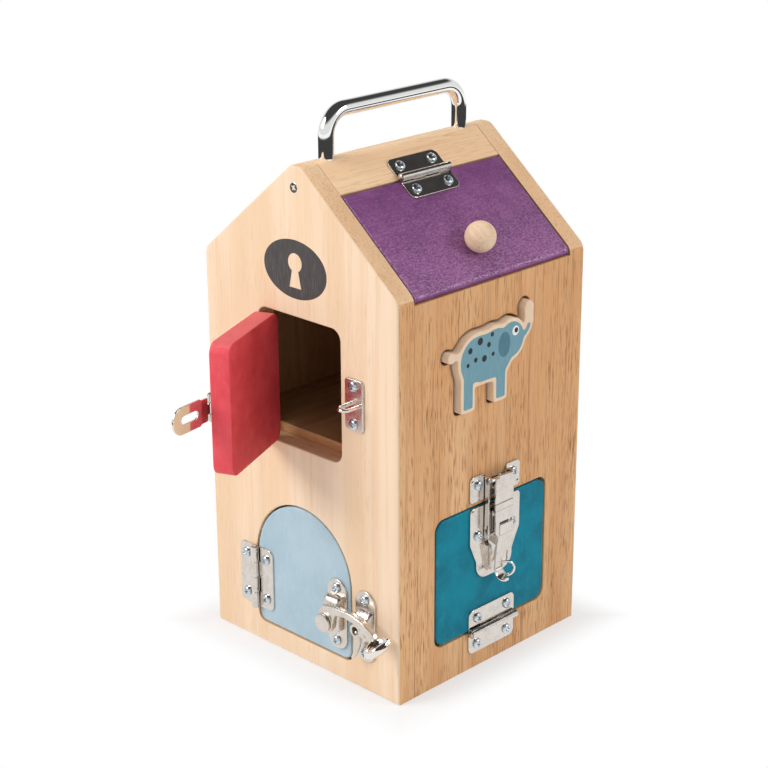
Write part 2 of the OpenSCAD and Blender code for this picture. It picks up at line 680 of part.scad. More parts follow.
// Roof hatch
module ridge_leaf() color(steel) on_roof() place_lid() hinge_leaf(-1);
module lid_hinge_pin() color(steel) on_roof() place_lid() hinge_pin();
module lid_leaf() color(steel) on_roof() place_lid() hinge_leaf(1);
module lid_screws() color(zinc) on_roof() place_lid() screws_at(hinge_points(1), leaf_t);
module lid_knob() color([0.88, 0.74, 0.58]) on_roof() difference() {
  translate([knob_s, knob_y, knob_d * 0.46]) rotate_extrude($fn = 48) intersection() {
    circle(d = knob_d, $fn = 64);
    translate([0, -knob_d * 0.46]) square(knob_d);
  }
  translate([knob_s, knob_y, -1]) cylinder(r = pilot_r, h = 9);
}
module knob_screw() color(zinc) on_roof() translate([knob_s, knob_y, -roof_t]) mirror([0, 0, 1])
  screw(roof_t + 7);

module figure() color([0.52, 0.66, 0.72]) on_side()
  translate([0, 0, figure_out - figure_t]) linear_extrude(figure_t) figure_outline(0);

front_gable();
back_gable();
left_wall();
right_wall();
lower_floor();
upper_floor();
ridge_block();
left_roof();
gable_screws();
handle();
handle_screws();
house_screws();
red_frame_leaf();
red_hinge_pin();
staple_plate();
staple_loop();
arch_frame_leaf();
arch_hinge_pin();
keeper_plate();
keeper_post();
teal_wall_leaf();
teal_hinge_pin();
toggle_strike();
ridge_leaf();
lid_hinge_pin();
red_door();
red_door_leaf();
hasp_leaf();
hasp_pin();
red_door_screws();
hasp_strap();
arch_door();
arch_door_leaf();
latch_plate();
latch_post();
arch_door_screws();
latch_lever();
teal_door();
teal_door_leaf();
toggle_base();
toggle_pin();
teal_door_screws();
toggle_lever();
claw_pin();
toggle_claw();
pull_ring();
roof_lid();
lid_leaf();
lid_knob();
knob_screw();
lid_screws();
figure();
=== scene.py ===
import math

import bmesh
import bpy
import numpy as np
from mathutils import Matrix, Vector
from mathutils.geometry import normal, tessellate_polygon


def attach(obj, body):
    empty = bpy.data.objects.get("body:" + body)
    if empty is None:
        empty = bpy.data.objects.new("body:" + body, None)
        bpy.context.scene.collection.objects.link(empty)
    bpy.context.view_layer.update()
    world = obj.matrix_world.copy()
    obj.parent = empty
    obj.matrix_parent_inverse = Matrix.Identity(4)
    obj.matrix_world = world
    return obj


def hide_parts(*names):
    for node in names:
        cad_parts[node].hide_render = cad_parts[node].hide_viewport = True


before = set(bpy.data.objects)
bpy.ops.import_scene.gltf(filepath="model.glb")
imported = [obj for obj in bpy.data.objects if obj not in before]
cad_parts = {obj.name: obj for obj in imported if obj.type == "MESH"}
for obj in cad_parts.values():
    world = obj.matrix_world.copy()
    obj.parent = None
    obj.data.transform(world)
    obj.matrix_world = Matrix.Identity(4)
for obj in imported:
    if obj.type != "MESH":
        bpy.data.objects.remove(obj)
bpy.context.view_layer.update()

# A millimetre in metres, and a metre in millimetres
MM = 0.001
METRE = 1000.0

# Sizes of the solids, in millimetres
HALF = 80.0
INNER = 67.0
PANEL = 13.0
EAVE = 247.5
WALL_TOP = 243.4
PITCH = math.radians(39.8)
COS, SIN, FALL = math.cos(PITCH), math.sin(PITCH), math.tan(PITCH)
APEX = EAVE + HALF * FALL
RIDGE_FLAT = 4.4
RIDGE_TOP = APEX - RIDGE_FLAT * FALL
RIDGE_S = 29.4
ROOF_T = 10.0
ROOF_RUN = INNER - 0.25
GAP = 0.9
DOOR_GAP = GAP + 0.3
DOOR_T = 12.5
FLOOR_T = 12.0
SHELF_Z = 145.6

# Door openings: half width, foot and top of the square ones
CORNER = 7.0
RED_HOLE = (34.5, 140.0, 221.5)
ARCH_R, ARCH_LOW, ARCH_SPRING, ARCH_CORNER = 41.5, 13.5, 60.5, 6.0
TEAL_HOLE = (49.6, 24.5, 107.5)

# Hinges and screws
AXIS_OUT = 2.75
LEAF = 1.2
KNUCKLE = 2.4
KNUCKLE_GAP = 0.07
KNUCKLE_EDGE = 0.08
PIN_R = 1.2
HINGE_LEN = 41.0
HINGE_W = 29.0
SCREW_ACROSS = HINGE_W * 0.3
SCREW_ALONG = HINGE_LEN * 0.324
RIVET_OVER = 0.4
RIVET_R = 1.8
HEAD_TURN = 67
GABLE_SCREW = (-1.2, APEX - 16.3)
RED_X = -34.05
RED_Z = 180.75
RED_OPEN = 66.5
ARCH_X = -41.05
ARCH_Z = 44.0
TEAL_AXIS = 24.95
LID_S = RIDGE_S + GAP / 2

# Hasp and staple
STAPLE = Vector((46.4, 180.4))
STAPLE_T = 1.6
STAPLE_SCREW = 11.7
BOW_R = 3.7
BOW_WIRE = 1.15
BOW_TOP = 11.9
STRAP_LEN = 34.0
STRAP_W = 15.7
STRAP_SET = 5.0
STRAP_OPEN = 9.5
HASP_X = STAPLE.x - STRAP_LEN * 0.58
HASP_LEAF_X = HASP_X - 21.5
HASP_SCREW_X = HASP_LEAF_X + 6
HASP_SCREW = 6.6

# Lever catch
LATCH_X = 30.2
LEVER_Z = 41.5
LEVER_OUT = 8.3
KEEPER = Vector((53.8, 43.3))
CATCH_Z = 43.0
CATCH_SCREW = 17.3
CATCH_W = 16.0
CATCH_LEN = 46.0
PLATE_T = 1.5
BLOCK_CORNER = 2.5

# Toggle catch: heights up the door and distances out of it
TOGGLE_Y = 1.5
TOGGLE_OUT = 8.6
TOGGLE_BACK = TOGGLE_OUT - LEAF
TONGUE_Z = 86.0
TONGUE_TILT = 5.5
LEVER_PIVOT = Vector((101.0, 5.0))
CLAW_PIVOT = Vector((87.0, 3.6))
STRIKE_Z = 120.3
STRIKE_SCREW = 15.2
BASE_SCREW_Z = 87.8

# Figure, knob and handle
FIGURE = Vector((-44.5, 170.7))
FIGURE_K = 73.5 / 79
FIGURE_GAP = 1.2
FIGURE_OUT = 4.5
FIGURE_T = 17.5
PRINT_MARGIN = 2.2
KNOB = Vector((83.5, -1.8, 8.46))
KNOB_R = 9.2
HANDLE_R = 4.5
HANDLE_LEG = 55.5
HANDLE_BEND = 14.3
HANDLE_RISE = 31.4

# Corners about the origin, in order round it
SQUARE = ((-1, -1), (1, -1), (1, 1), (-1, 1))

# Fineness of the meshes, with angles in degrees
LAND = 0.12
CORNER_STEP = 11
SHARPEST = 0.3
TURNS = 48
DOME_STEPS = (25, 50, 75)
CURVE_STEPS = 6
WELD = 0.005
CREASE = 38
TRACE_PITCH, TRACE_STEP, TRACE_PASSES, TRACE_BEND = 0.5, 0.12, 8, 1e-4


def axes(x, y, z, origin):
    """Placing with its axes along three vectors."""
    place = Matrix((x, y, z)).transposed().to_4x4()
    place.translation = origin
    return place


# Drawing boards: x across, y up, z out of the face
def board(origin, across, up):
    x, y = Vector(across), Vector(up)
    return axes(x, y, x.cross(y), Vector(origin))


def shift(x, y, z=0.0):
    return Matrix.Translation((x, y, z))


def spin(degrees, axis="Z"):
    return Matrix.Rotation(math.radians(degrees), 4, axis)


def turned(angle, x, y):
    """A turn about the upright line through x, y."""
    return shift(x, y) @ spin(angle) @ shift(-x, -y)


FRONT = board((0, -HALF, 0), (1, 0, 0), (0, 0, 1))
BACK = board((0, HALF, 0), (-1, 0, 0), (0, 0, 1))
SIDE = board((HALF, 0, 0), (0, 1, 0), (0, 0, 1))
LEFT = board((-HALF, 0, 0), (0, -1, 0), (0, 0, 1))
SECTION = board((0, 0, 0), (1, 0, 0), (0, 0, 1))
ROOF = board((0, 0, APEX), (COS, 0, -SIN), (0, 1, 0))
RED_TURN = turned(-RED_OPEN, RED_X, -HALF - AXIS_OUT)
RED = RED_TURN @ FRONT
STRAP = RED_TURN @ turned(-STRAP_OPEN, HASP_X, -HALF - AXIS_OUT) @ FRONT
TOGGLE = SIDE @ shift(TOGGLE_Y, 0)
RED_HINGE = shift(RED_X, RED_Z)
ARCH_HINGE = shift(ARCH_X, ARCH_Z)
TEAL_HINGE = shift(0, TEAL_AXIS) @ spin(90)
LID_HINGE = shift(LID_S, 0)
# Turned boards: outlines read as (x, out) and run along y, or as (y, out) and run along x
ALONG_Y = spin(90, "X")
ALONG_X = Matrix(((0, 0, 1, 0), (1, 0, 0, 0), (0, 1, 0, 0), (0, 0, 0, 1)))


def on_slope(s, depth):
    return s * COS - depth * SIN, APEX - s * SIN - depth * COS


# Outlines: lists of flat points, with the material on the left of each loop
def neighbours(loop):
    """Each point of a closed loop, between the one before it and the one after it."""
    return zip(loop[-1:] + loop[:-1], loop, loop[1:] + loop[:1])


def full_turn(count):
    return [2 * math.pi * i / count for i in range(count)]


def arc(x, y, radius, start, stop, step=6.0):
    count = max(2, int(abs(stop - start) / step + 0.5))
    angles = [math.radians(start + (stop - start) * i / count) for i in range(count + 1)]
    return [Vector((x + radius * math.cos(a), y + radius * math.sin(a))) for a in angles]


def circle(x, y, rx, ry=None, count=64):
    ry = rx if ry is None else ry
    return [Vector((x + rx * math.cos(a), y + ry * math.sin(a))) for a in full_turn(count)]


def rounded(points, radii):
    """The polygon with each corner rounded by its own radius."""
    loop = []
    for (last, here, following), radius in zip(neighbours([Vector(p) for p in points]), radii):
        if radius == 0:
            loop.append(here)
            continue
        a, b = (last - here).normalized(), (following - here).normalized()
        half = a.angle(b) / 2
        centre = here + (a + b).normalized() * (radius / math.sin(half))
        start, stop = (here + way * (radius / math.tan(half)) - centre for way in (a, b))
        first = math.degrees(math.atan2(start.y, start.x))
        sweep = math.degrees(math.atan2(stop.y, stop.x)) - first
        sweep = (sweep + 180) % 360 - 180
        loop += arc(centre.x, centre.y, radius, first, first + sweep, CORNER_STEP)
    return loop


def box_loop(x0, y0, x1, y1, radius):
    return rounded([(x0, y0), (x1, y0), (x1, y1), (x0, y1)], [radius] * 4)


def stadium(width, length):
    straight = (length - width) / 2
    return arc(0, straight, width / 2, 0, 180) + arc(0, -straight, width / 2, 180, 360)


def moved(loop, x, y, scale):
    return [Vector((x + p.x * scale, y + p.y * scale)) for p in loop]


def mirrored(loop):
    return [Vector((-p.x, p.y)) for p in loop][::-1]


def hole(loop):
    return loop[::-1]


def inset(loop, depth):
    """The loop moved to its left, into the material."""
    result = []
    for last, here, following in neighbours(loop):
        before, after = (here - last).normalized(), (following - here).normalized()
        a, b = Vector((-before.y, before.x)), Vector((-after.y, after.x))
        result.append(here + (a + b) * (depth / max(SHARPEST, 1 + a.dot(b))))
    return result


# Solid forms, in millimetres
def each(value, count):
    """One value for all, or a list with one for each."""
    return value if isinstance(value, list) else [value] * count


class Shape:
    """Points and faces of one piece; a face with no coat has the piece's own material."""

    def __init__(self):
        self.points, self.rim = [], []
        self.faces, self.flat, self.coat = [], [], []

    def extend(self, points, rim, faces, flat, coat):
        base = len(self.points)
        self.points += points
        self.rim += rim
        self.faces += [[base + i for i in f] for f in faces]
        self.flat += flat
        self.coat += coat
        return self

    def add(self, points, faces, rim=None, coat=None):
        points, count = [Vector(p) for p in points], len(faces)
        rim = rim or [0.0] * len(points)
        return self.extend(points, rim, faces, [False] * count, [coat] * count)

    def join(self, other, place=None, coat=None):
        points = [place @ p if place else p.copy() for p in other.points]
        coats = [coat or own for own in other.coat]
        return self.extend(points, other.rim, other.faces, other.flat, coats)

    def repaint(self, coat, test):
        """Gives every face whose normal passes the test another material."""
        for i, face in enumerate(self.faces):
            if test(normal([self.points[k] for k in face])):
                self.coat[i] = coat
        return self


def skin(rows, count, closed=False):
    """Faces between rows of count points, each row a ring."""
    faces = []
    for row in range(rows if closed else rows - 1):
        a, b = row * count, (row + 1) % rows * count
        for i in range(count):
            j = (i + 1) % count
            faces.append([a + i, a + j, b + j, b + i])
    return faces


def edge_rows(low, high, edge, foot, steps):
    """Rows of inset, height and edge weight up one side of a board."""
    rows = [(foot + LAND, low, 0.0)]
    turns = [math.pi / 2 * k / steps for k in range(steps + 1)]
    for a in turns if foot else turns[:1]:
        rows.append((foot * (1 - math.sin(a)), low + foot * (1 - math.cos(a)), math.sin(2 * a)))
    for a in turns if edge else turns[:1]:
        rows.append((edge * (1 - math.cos(a)), high - edge * (1 - math.sin(a)), math.sin(2 * a)))
    rows.append((edge + LAND, high, 0.0))
    return rows


def fill(shape, rings, up, coat):
    """Closes rings of points at one height with a flat face."""
    order = [i for ring in rings for i in ring]
    faces = []
    for tri in tessellate_polygon([[shape.points[i] for i in ring] for ring in rings]):
        a, b, c = (order[i] for i in tri)
        way = (shape.points[b] - shape.points[a]).cross(shape.points[c] - shape.points[a]).z
        faces.append([a, b, c] if (way > 0) == up else [a, c, b])
    shape.faces += faces
    shape.flat += [True] * len(faces)
    shape.coat += [coat] * len(faces)


def fill_marked(shape, rings, marks, height, coat):
    """Closes the top of a board, with printed areas let into it: (loop, coat, areas inside)."""
    inner = []
    for loop, ink_coat, inside in marks:
        base = len(shape.points)
        shape.add([(p.x, p.y, height) for p in loop], [])
        inner.append((list(range(base, base + len(loop))), ink_coat, inside))
    fill(shape, rings + [ring for ring, _, _ in inner], True, coat)
    for ring, ink_coat, inside in inner:
        fill_marked(shape, [ring], inside, height, ink_coat)


def slab(loops, low, high, edge, foot, steps, walls=None, marks=()):
    """Board between two heights, its edges rounded by edge above and by foot below."""
    shape = Shape()
    edges, feet, coats = (each(value, len(loops)) for value in (edge, foot, walls))
    bottoms, tops = [], []
    for loop, up, down, coat in zip(loops, edges, feet, coats):
        rows = edge_rows(low, high, up, down, steps)
        base, count = len(shape.points), len(loop)
        points, rim = [], []
        for depth, height, weight in rows:
            points += [(p.x, p.y, height) for p in inset(loop, depth)]
            rim += [weight] * count
        shape.add(points, skin(len(rows), count), rim, coat)
        bottoms.append(list(range(base, base + count)))
        tops.append(list(range(len(shape.points) - count, len(shape.points))))
    fill(shape, bottoms, False, None)
    fill_marked(shape, tops, marks, high, None)
    return shape


def loft(rings, closed=False):
    """Skin over rings of equal count, closed by a flat face at each end."""
    count, rows = len(rings[0]), len(rings)
    faces = skin(rows, count, closed)
    if not closed:
        faces.append(list(range(count))[::-1])
        faces.append(list(range((rows - 1) * count, rows * count)))
    return Shape().add([p for ring in rings for p in ring], faces)


def lathe(profile, turns=TURNS):
    """Solid turned about z, from radius and height points up its side from axis to axis."""
    rings, points, faces = [], [], []
    for radius, height in profile:
        count = turns if radius else 1
        rings.append(list(range(len(points), len(points) + count)))
        points += [(radius * math.cos(a), radius * math.sin(a), height) for a in full_turn(count)]
    for low, high in zip(rings, rings[1:]):
        for i in range(turns):
            j = (i + 1) % turns
            face = [ring[k % len(ring)] for ring, k in ((low, i), (low, j), (high, j), (high, i))]
            face = list(dict.fromkeys(face))
            if len(face) > 2:
                faces.append(face)
    return Shape().add(points, faces)


def tube(path, radius, sides, closed=False):
    """Round bar with one radius, or one for each point of its path; open ends are domed."""
    path = [Vector(p) for p in path]
    if closed:
        ends = [(before, after) for before, _, after in neighbours(path)]
    else:
        ends = zip(path[:1] + path[:-1], path[1:] + path[-1:])
    ways = [(after - before).normalized() for before, after in ends]
    side = ways[0].orthogonal().normalized()
    stations = []
    for point, way, size in zip(path, ways, each(radius, len(path))):
        side = (side - way * side.dot(way)).normalized()
        stations.append((point, way, side, size))
    if not closed:
        for end, sign in ((0, -1), (-1, 1)):
            point, way, across, size = stations[end]
            for a in (math.radians(degrees) for degrees in DOME_STEPS):
                tip = point + way * sign * size * 0.5 * math.sin(a)
                dome = [(tip, way, across, size * math.cos(a))]
                stations = dome + stations if sign < 0 else stations + dome
    rings = []
    for point, way, across, size in stations:
        up = way.cross(across)
        rings.append([point + (across * math.cos(a) + up * math.sin(a)) * size
                      for a in full_turn(sides)])
    return loft(rings, closed)


def curve(points):
    """Smooth path through the points."""
    knots = [Vector(p) for p in points]
    knots = [knots[0] * 2 - knots[1]] + knots + [knots[-1] * 2 - knots[-2]]
    path = []
    for a, b, c, d in zip(knots, knots[1:], knots[2:], knots[3:]):
        for k in range(CURVE_STEPS):
            t = k / CURVE_STEPS
            path.append(0.5 * (2 * b + (c - a) * t + (2 * a - 5 * b + 4 * c - d) * t * t
                               + (3 * b - a - 3 * c + d) * t * t * t))
    return path + [knots[-2]]


def linked(name, data):
    made = bpy.data.objects.new(name, data)
    bpy.context.scene.collection.objects.link(made)
    return made


def cut(shape, tool):
    """The first shape with the second taken out of it."""
    made = []
    for source in (shape, tool):
        mesh = bpy.data.meshes.new("cutting")
        mesh.from_pydata(source.points, [], source.faces)
        made.append(linked("cutting", mesh))
    change = made[0].modifiers.new("cut", "BOOLEAN")
    change.operation, change.solver, change.object = "DIFFERENCE", "EXACT", made[1]
    bpy.context.view_layer.update()
    result = made[0].evaluated_get(bpy.context.evaluated_depsgraph_get()).to_mesh()
    welded = bmesh.new()
    welded.from_mesh(result)
    bmesh.ops.remove_doubles(welded, verts=welded.verts[:], dist=WELD)
    welded.verts.index_update()
    faces = [[v.index for v in f.verts] for f in welded.faces]
    left = Shape().add([v.co.copy() for v in welded.verts], faces)
    welded.free()
    for holder in made:
        mesh = holder.data
        bpy.data.objects.remove(holder)
        bpy.data.meshes.remove(mesh)
    return left


def piece(name, shape, place, body, material, node, crease=CREASE):
    """Makes a shape into an object that rides on a body and stands for a solid."""
    coats = [coat or material for coat in shape.coat]
    used = list(dict.fromkeys(coats))
    mesh = bpy.data.meshes.new(name)
    mesh.from_pydata([p * MM for p in shape.points], [], shape.faces)
    mesh.update()
    mesh.polygons.foreach_set("use_smooth", [not flat for flat in shape.flat])
    mesh.polygons.foreach_set("material_index", [used.index(coat) for coat in coats])
    mesh.set_sharp_from_angle(angle=math.radians(crease))
    mesh.attributes.new("rim", "FLOAT", "POINT").data.foreach_set("value", shape.rim)
    for coat in used:
        mesh.materials.append(coat)
    made = linked(name, mesh)
    place = place.copy()
    place.translation *= MM
    made.matrix_world = place
    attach(made, body)
    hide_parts(node)


# Materials
class Graph:
    """Nodes of one material or world."""

    def __init__(self, tree):
        self.tree = tree

    def node(self, kind, links=None, **settings):
        made = self.tree.nodes.new("ShaderNode" + kind)
        for key, value in settings.items():
            setattr(made, key, value)
        for key, value in (links or {}).items():
            self.put(made.inputs[key], value)
        return made

    def put(self, socket, value):
        if isinstance(value, bpy.types.NodeSocket):
            self.tree.links.new(value, socket)
        elif isinstance(value, tuple) and socket.type == "RGBA":
            socket.default_value = (*value, 1.0)
        else:
            socket.default_value = value

    def ramp(self, value, low, high, start=0.0, stop=1.0):
        ends = {"Value": value, "From Min": low, "From Max": high, "To Min": start, "To Max": stop}
        return self.node("MapRange", ends, interpolation_type="SMOOTHSTEP").outputs[0]

    def maths(self, operation, a, b=0.0):
        return self.node("Math", {0: a, 1: b}, operation=operation).outputs[0]

    def times(self, a, b):
        return self.maths("MULTIPLY", a, b)

    def most(self, a, b):
        return self.maths("MAXIMUM", a, b)


class Paintbox(Graph):
    """Node tree of one material, read in object coordinates."""

    def __init__(self, name):
        self.material = bpy.data.materials.new(name)
        self.material.use_nodes = True
        super().__init__(self.material.node_tree)
        self.shader = next(n for n in self.tree.nodes if n.type == "BSDF_PRINCIPLED")
        self.coords = self.node("TexCoord").outputs["Object"]

    def noise(self, size, offset, detail, rough=0.5, warp=0.0):
        """Noise whose lumps measure size millimetres along x, y and z."""
        placing = {"Vector": self.coords, "Scale": tuple(METRE / s for s in size),
                   "Location": (offset, offset * 1.7, offset * 0.6)}
        placed = self.node("Mapping", placing)
        settings = {"Vector": placed.outputs[0], "Scale": 1.0, "Detail": detail,
                    "Roughness": rough, "Distortion": warp}
        return self.node("TexNoise", settings).outputs[0]

    def mix(self, share, a, b):
        return self.node("Mix", {0: share, 6: a, 7: b}, data_type="RGBA").outputs[2]

    def rim(self):
        return self.node("Attribute", attribute_name="rim").outputs["Fac"]

    def bump(self, height, depth, strength):
        settings = {"Height": height, "Distance": depth * MM, "Strength": strength}
        self.put(self.shader.inputs["Normal"], self.node("Bump", settings).outputs[0])

    def set(self, **values):
        for key, value in values.items():
            self.put(self.shader.inputs[key.replace("_", " ")], value)
        return self.material


def linear(*colours):
    """Linear colours of screen values from 0 to 255."""
    def channel(value):
        v = value / 255
        return v / 12.92 if v <= 0.04045 else ((v + 0.055) / 1.055) ** 2.4

    return [tuple(channel(value) for value in colour) for colour in colours]


def stretch(across, along, grain):
    size = [across] * 3
    size["xyz".index(grain)] = along
    return size


def wood(name, pale, deep, line, streaks, grain="y", offset=0.0):
    """Bare wood: broad bands, long dark streaks, and pores that gather in patches."""
    pale, deep, line = linear(pale, deep, line)
    box = Paintbox(name)
    cloud = box.noise(stretch(30, 380, grain), offset, 2)
    band = box.noise(stretch(5.5, 200, grain), offset + 3, 3, 0.55, 0.3)
    streak = box.noise(stretch(1.0, 70, grain), offset + 7, 3, 0.55, 0.2)
    pore = box.noise(stretch(0.9, 11, grain), offset + 11, 2)
    patch = box.noise(stretch(20, 110, grain), offset + 15, 2)
    colour = box.mix(box.ramp(cloud, 0.35, 0.65), pale, deep)
    colour = box.mix(box.times(box.ramp(band, 0.44, 0.70), 0.6), colour, deep)
    lines = box.times(box.ramp(streak, 0.50, 0.69), box.ramp(band, 0.34, 0.62, 0.3, 1.0))
    colour = box.mix(box.times(lines, 0.7 * streaks), colour, line)
    pores = box.times(box.ramp(pore, 0.50, 0.72), box.ramp(patch, 0.40, 0.58, 0.3, 1.0))
    colour = box.mix(box.times(pores, 0.9 * streaks), colour, line)
    box.bump(box.mix(0.5, streak, pore), 0.12, 0.25)
    rough = box.ramp(streak, 0.3, 0.75, 0.42, 0.56)
    return box.set(Base_Color=colour, Roughness=rough, Specular_IOR_Level=0.3)


def paint(name, colour, light, dark, worn, grain, offset, fibres, scuff, wear,
          gloss=0.3, lump=4.5):
    """Stain over wood: clouds, fine fibres, pale flecks and thin wear on the edges."""
    colour, light, dark, worn = linear(colour, light, dark, worn)
    box = Paintbox(name)
    cloud = box.noise((24, 24, 24), offset, 4, 0.65)
    smudge = box.noise(stretch(lump, lump * 2, grain), offset + 2, 3, 0.7, 0.3)
    fibre = box.noise(stretch(0.8, 20, grain), offset + 5, 3, 0.6)
    fleck = box.noise((0.9, 0.9, 0.9), offset + 9, 3, 0.65)
    tone = box.mix(box.ramp(cloud, 0.36, 0.66), colour, dark)
    tone = box.mix(box.times(box.ramp(fibre, 0.5, 0.76), fibres), tone, light)
    tone = box.mix(box.times(box.ramp(smudge, 0.5, 0.72), scuff), tone, light)
    tone = box.mix(box.times(box.ramp(fleck, 0.53, 0.72), scuff), tone, light)
    tone = box.mix(box.times(box.ramp(fleck, 0.47, 0.30), scuff), tone, dark)
    edge = box.times(box.rim(), box.ramp(smudge, 0.36, 0.66))
    tone = box.mix(box.times(edge, wear), tone, worn)
    box.bump(box.mix(0.5, fibre, fleck), 0.08, 0.3)
    rough = box.ramp(fleck, 0.3, 0.7, 0.46, 0.62)
    return box.set(Base_Color=tone, Roughness=rough, Specular_IOR_Level=gloss)


def metal(name, colour, shade, rough, wave, offset=0.0):
    """Plated steel with faint smears, fine pits and a slightly uneven polish."""
    box = Paintbox(name)
    smear = box.noise((6, 6, 6), offset, 3, 0.6)
    fine = box.noise((0.6, 0.6, 0.6), offset + 4, 2)
    tone = box.mix(box.ramp(box.mix(0.5, smear, fine), 0.42, 0.66), colour, shade)
    box.bump(smear, wave, 0.12)
    gloss = box.ramp(box.mix(0.35, smear, fine), 0.35, 0.65, rough * 0.75, rough * 1.4)
    return box.set(Base_Color=tone, Metallic=1.0, Roughness=gloss)


def ink(name, colour, shade, offset):
    """Flat print that has sunk a little into the wood."""
    colour, shade = linear(colour, shade)
    box = Paintbox(name)
    fibre = box.noise(stretch(0.6, 8, "y"), offset, 3)
    tone = box.mix(box.ramp(fibre, 0.45, 0.75), colour, shade)
    box.bump(fibre, 0.05, 0.25)
    return box.set(Base_Color=tone, Roughness=0.6, Specular_IOR_Level=0.3)


# Woods: pale, deep and line colours, strength of the streaks, grain and place in the noise
FRONT_WOOD = wood("front_wood", (242, 216, 188), (234, 201, 166), (206, 162, 120), 0.26)
# Side wood: the walls' streaky wood. It is darker and more saturated than the front wood, partly as
# painted shade for the less-lit sides; on the gables' x-facing edges it is painted shade alone.
SHADED_SIDE_WOOD = wood("shaded_side_wood", (234, 187, 137), (220, 166, 114), (150, 88, 46), 0.85, "y", 5.3)
RIDGE_WOOD = wood("ridge_wood", (250, 218, 180), (242, 202, 160), (200, 150, 104), 0.55, "z", 9.1)
SLOPE_WOOD = wood("slope_wood", (242, 205, 164), (231, 189, 147), (184, 134, 90), 0.5, "x", 3.4)
FLOOR_WOOD = wood("floor_wood", (224, 182, 134), (208, 160, 110), (168, 118, 72), 0.6, "x", 2.7)
# Inside wood: a darker copy of the wood for the inward faces of the walls and gables and for the
# floors' tops. It is painted shade for the dark inside of the house.
INSIDE_SHADE_WOOD = wood("inside_shade_wood", (192, 150, 106), (176, 130, 86), (132, 88, 50), 0.6, "y", 4.1)
BALL_WOOD = wood("ball_wood", (236, 206, 174), (222, 185, 149), (184, 138, 100), 0.4, "x", 6.6)
FIGURE_WOOD = wood("figure_wood", (246, 224, 200), (236, 208, 178), (208, 170, 132), 0.35, "y", 1.9)
# Darker brown wood for the walls of the figure's hole: painted shade for the narrow gap round the
# figure.
HOLE_SHADE_WOOD = wood("hole_shade_wood", (150, 106, 68), (126, 84, 50), (88, 54, 30), 0.5, "z", 8.4)
# Stains: base, light, dark and worn colours
PURPLE = paint("purple_stain", (132, 76, 128), (164, 114, 158), (110, 60, 110), (196, 154, 190),
               "z", 0.4, 0.34, 0.26, 0.9, 0.12, 0.9)
RED_PAINT = paint("red_paint", (222, 75, 80), (226, 94, 98), (204, 58, 66), (228, 108, 110),
                  "y", 3.3, 0.25, 0.16, 0.12)
# Lighter copies of the red paint for the door's edges and for its upward top face: painted light,
# since these catch more light than the inner face.
RED_LIT_EDGE = paint("red_lit_edge_paint", (233, 84, 92), (238, 112, 116), (227, 70, 81), (236, 118, 120),
                 "y", 3.9, 0.25, 0.18, 0.12)
RED_LIT_TOP = paint("red_lit_top_paint", (229, 104, 107), (238, 130, 130), (223, 90, 96), (238, 136, 136),
                "x", 4.4, 0.25, 0.2, 0.12)
BLUE_PAINT = paint("pale_blue_paint", (172, 195, 206), (190, 209, 217), (163, 187, 199),
                   (214, 224, 226), "y", 7.2, 0.25, 0.25, 0.3)
TEAL_PAINT = paint("teal_paint", (4, 133, 156), (44, 148, 168), (10, 112, 134), (90, 164, 178),
                   "y", 4.8, 0.2, 0.3, 0.3, 0.15)
# Metals: linear base and shade colours, roughness and depth of the waves
NICKEL = metal("nickel", (0.71, 0.665, 0.615), (0.62, 0.575, 0.53), 0.15, 0.03)
SATIN = metal("satin_nickel", (0.72, 0.66, 0.60), (0.63, 0.57, 0.51), 0.27, 0.04, 5.0)
# Brown and dark copies of the nickel. The brown is painted reflection and shade on the fold's left
# facets; the dark is painted shade in the post's hole and under the pull's tab.
FOLD_SHADE_NICKEL = metal("fold_shade_nickel", (0.56, 0.47, 0.39), (0.40, 0.32, 0.25), 0.24, 0.05, 8.0)
DARK_SHADE_NICKEL = metal("dark_shade_nickel", (0.36, 0.29, 0.23), (0.27, 0.21, 0.165), 0.32, 0.04, 7.0)
BRIGHT = metal("bright_nickel", (0.84, 0.79, 0.735), (0.78, 0.735, 0.69), 0.06, 0.02, 3.0)
CHROME = metal("polished_bar", (0.93, 0.93, 0.92), (0.88, 0.88, 0.87), 0.04, 0.02, 2.0)
ZINC = metal("zinc", (0.64, 0.69, 0.73), (0.52, 0.58, 0.63), 0.19, 0.05, 6.0)
CHARCOAL = ink("charcoal_print", (70, 67, 66), (92, 87, 83), 1.0)
FIGURE_INK = ink("figure_print", (112, 157, 171), (126, 168, 180), 2.0)
EAR_INK = ink("ear_print", (78, 122, 138), (92, 134, 148), 5.0)
DARK_INK = ink("dark_print", (40, 44, 46), (52, 54, 54), 3.0)
WHITE_INK = ink("white_print", (240, 238, 232), (228, 224, 216), 4.0)


# Boards of the house
def gable_loop():
    corners = [(-HALF, 0), (HALF, 0), (HALF, EAVE), (RIDGE_FLAT, RIDGE_TOP),
               (-RIDGE_FLAT, RIDGE_TOP), (-HALF, EAVE)]
    return rounded(corners, [0, 0, 8, 6, 6, 8])


def door_loop(half, low, high, gap):
    return box_loop(gap - half, low + gap, half - gap, high - gap, CORNER)


def arch_loop(gap):
    radius, low = ARCH_R - gap, ARCH_LOW + gap
    corners = [(-radius, ARCH_SPRING), (-radius, low), (radius, low), (radius, ARCH_SPRING)]
    feet = rounded(corners, [0, ARCH_CORNER, ARCH_CORNER, 0])
    return feet[1:-1] + arc(0, ARCH_SPRING, radius, 0, 180, 4)


def keyhole_loop(x, y):
    """Round eye over a stem that widens downwards."""
    return [Vector((x - 4.8, y - 11)), Vector((x + 4.8, y - 11))] + arc(x, y + 4, 5.6, -62, 242)


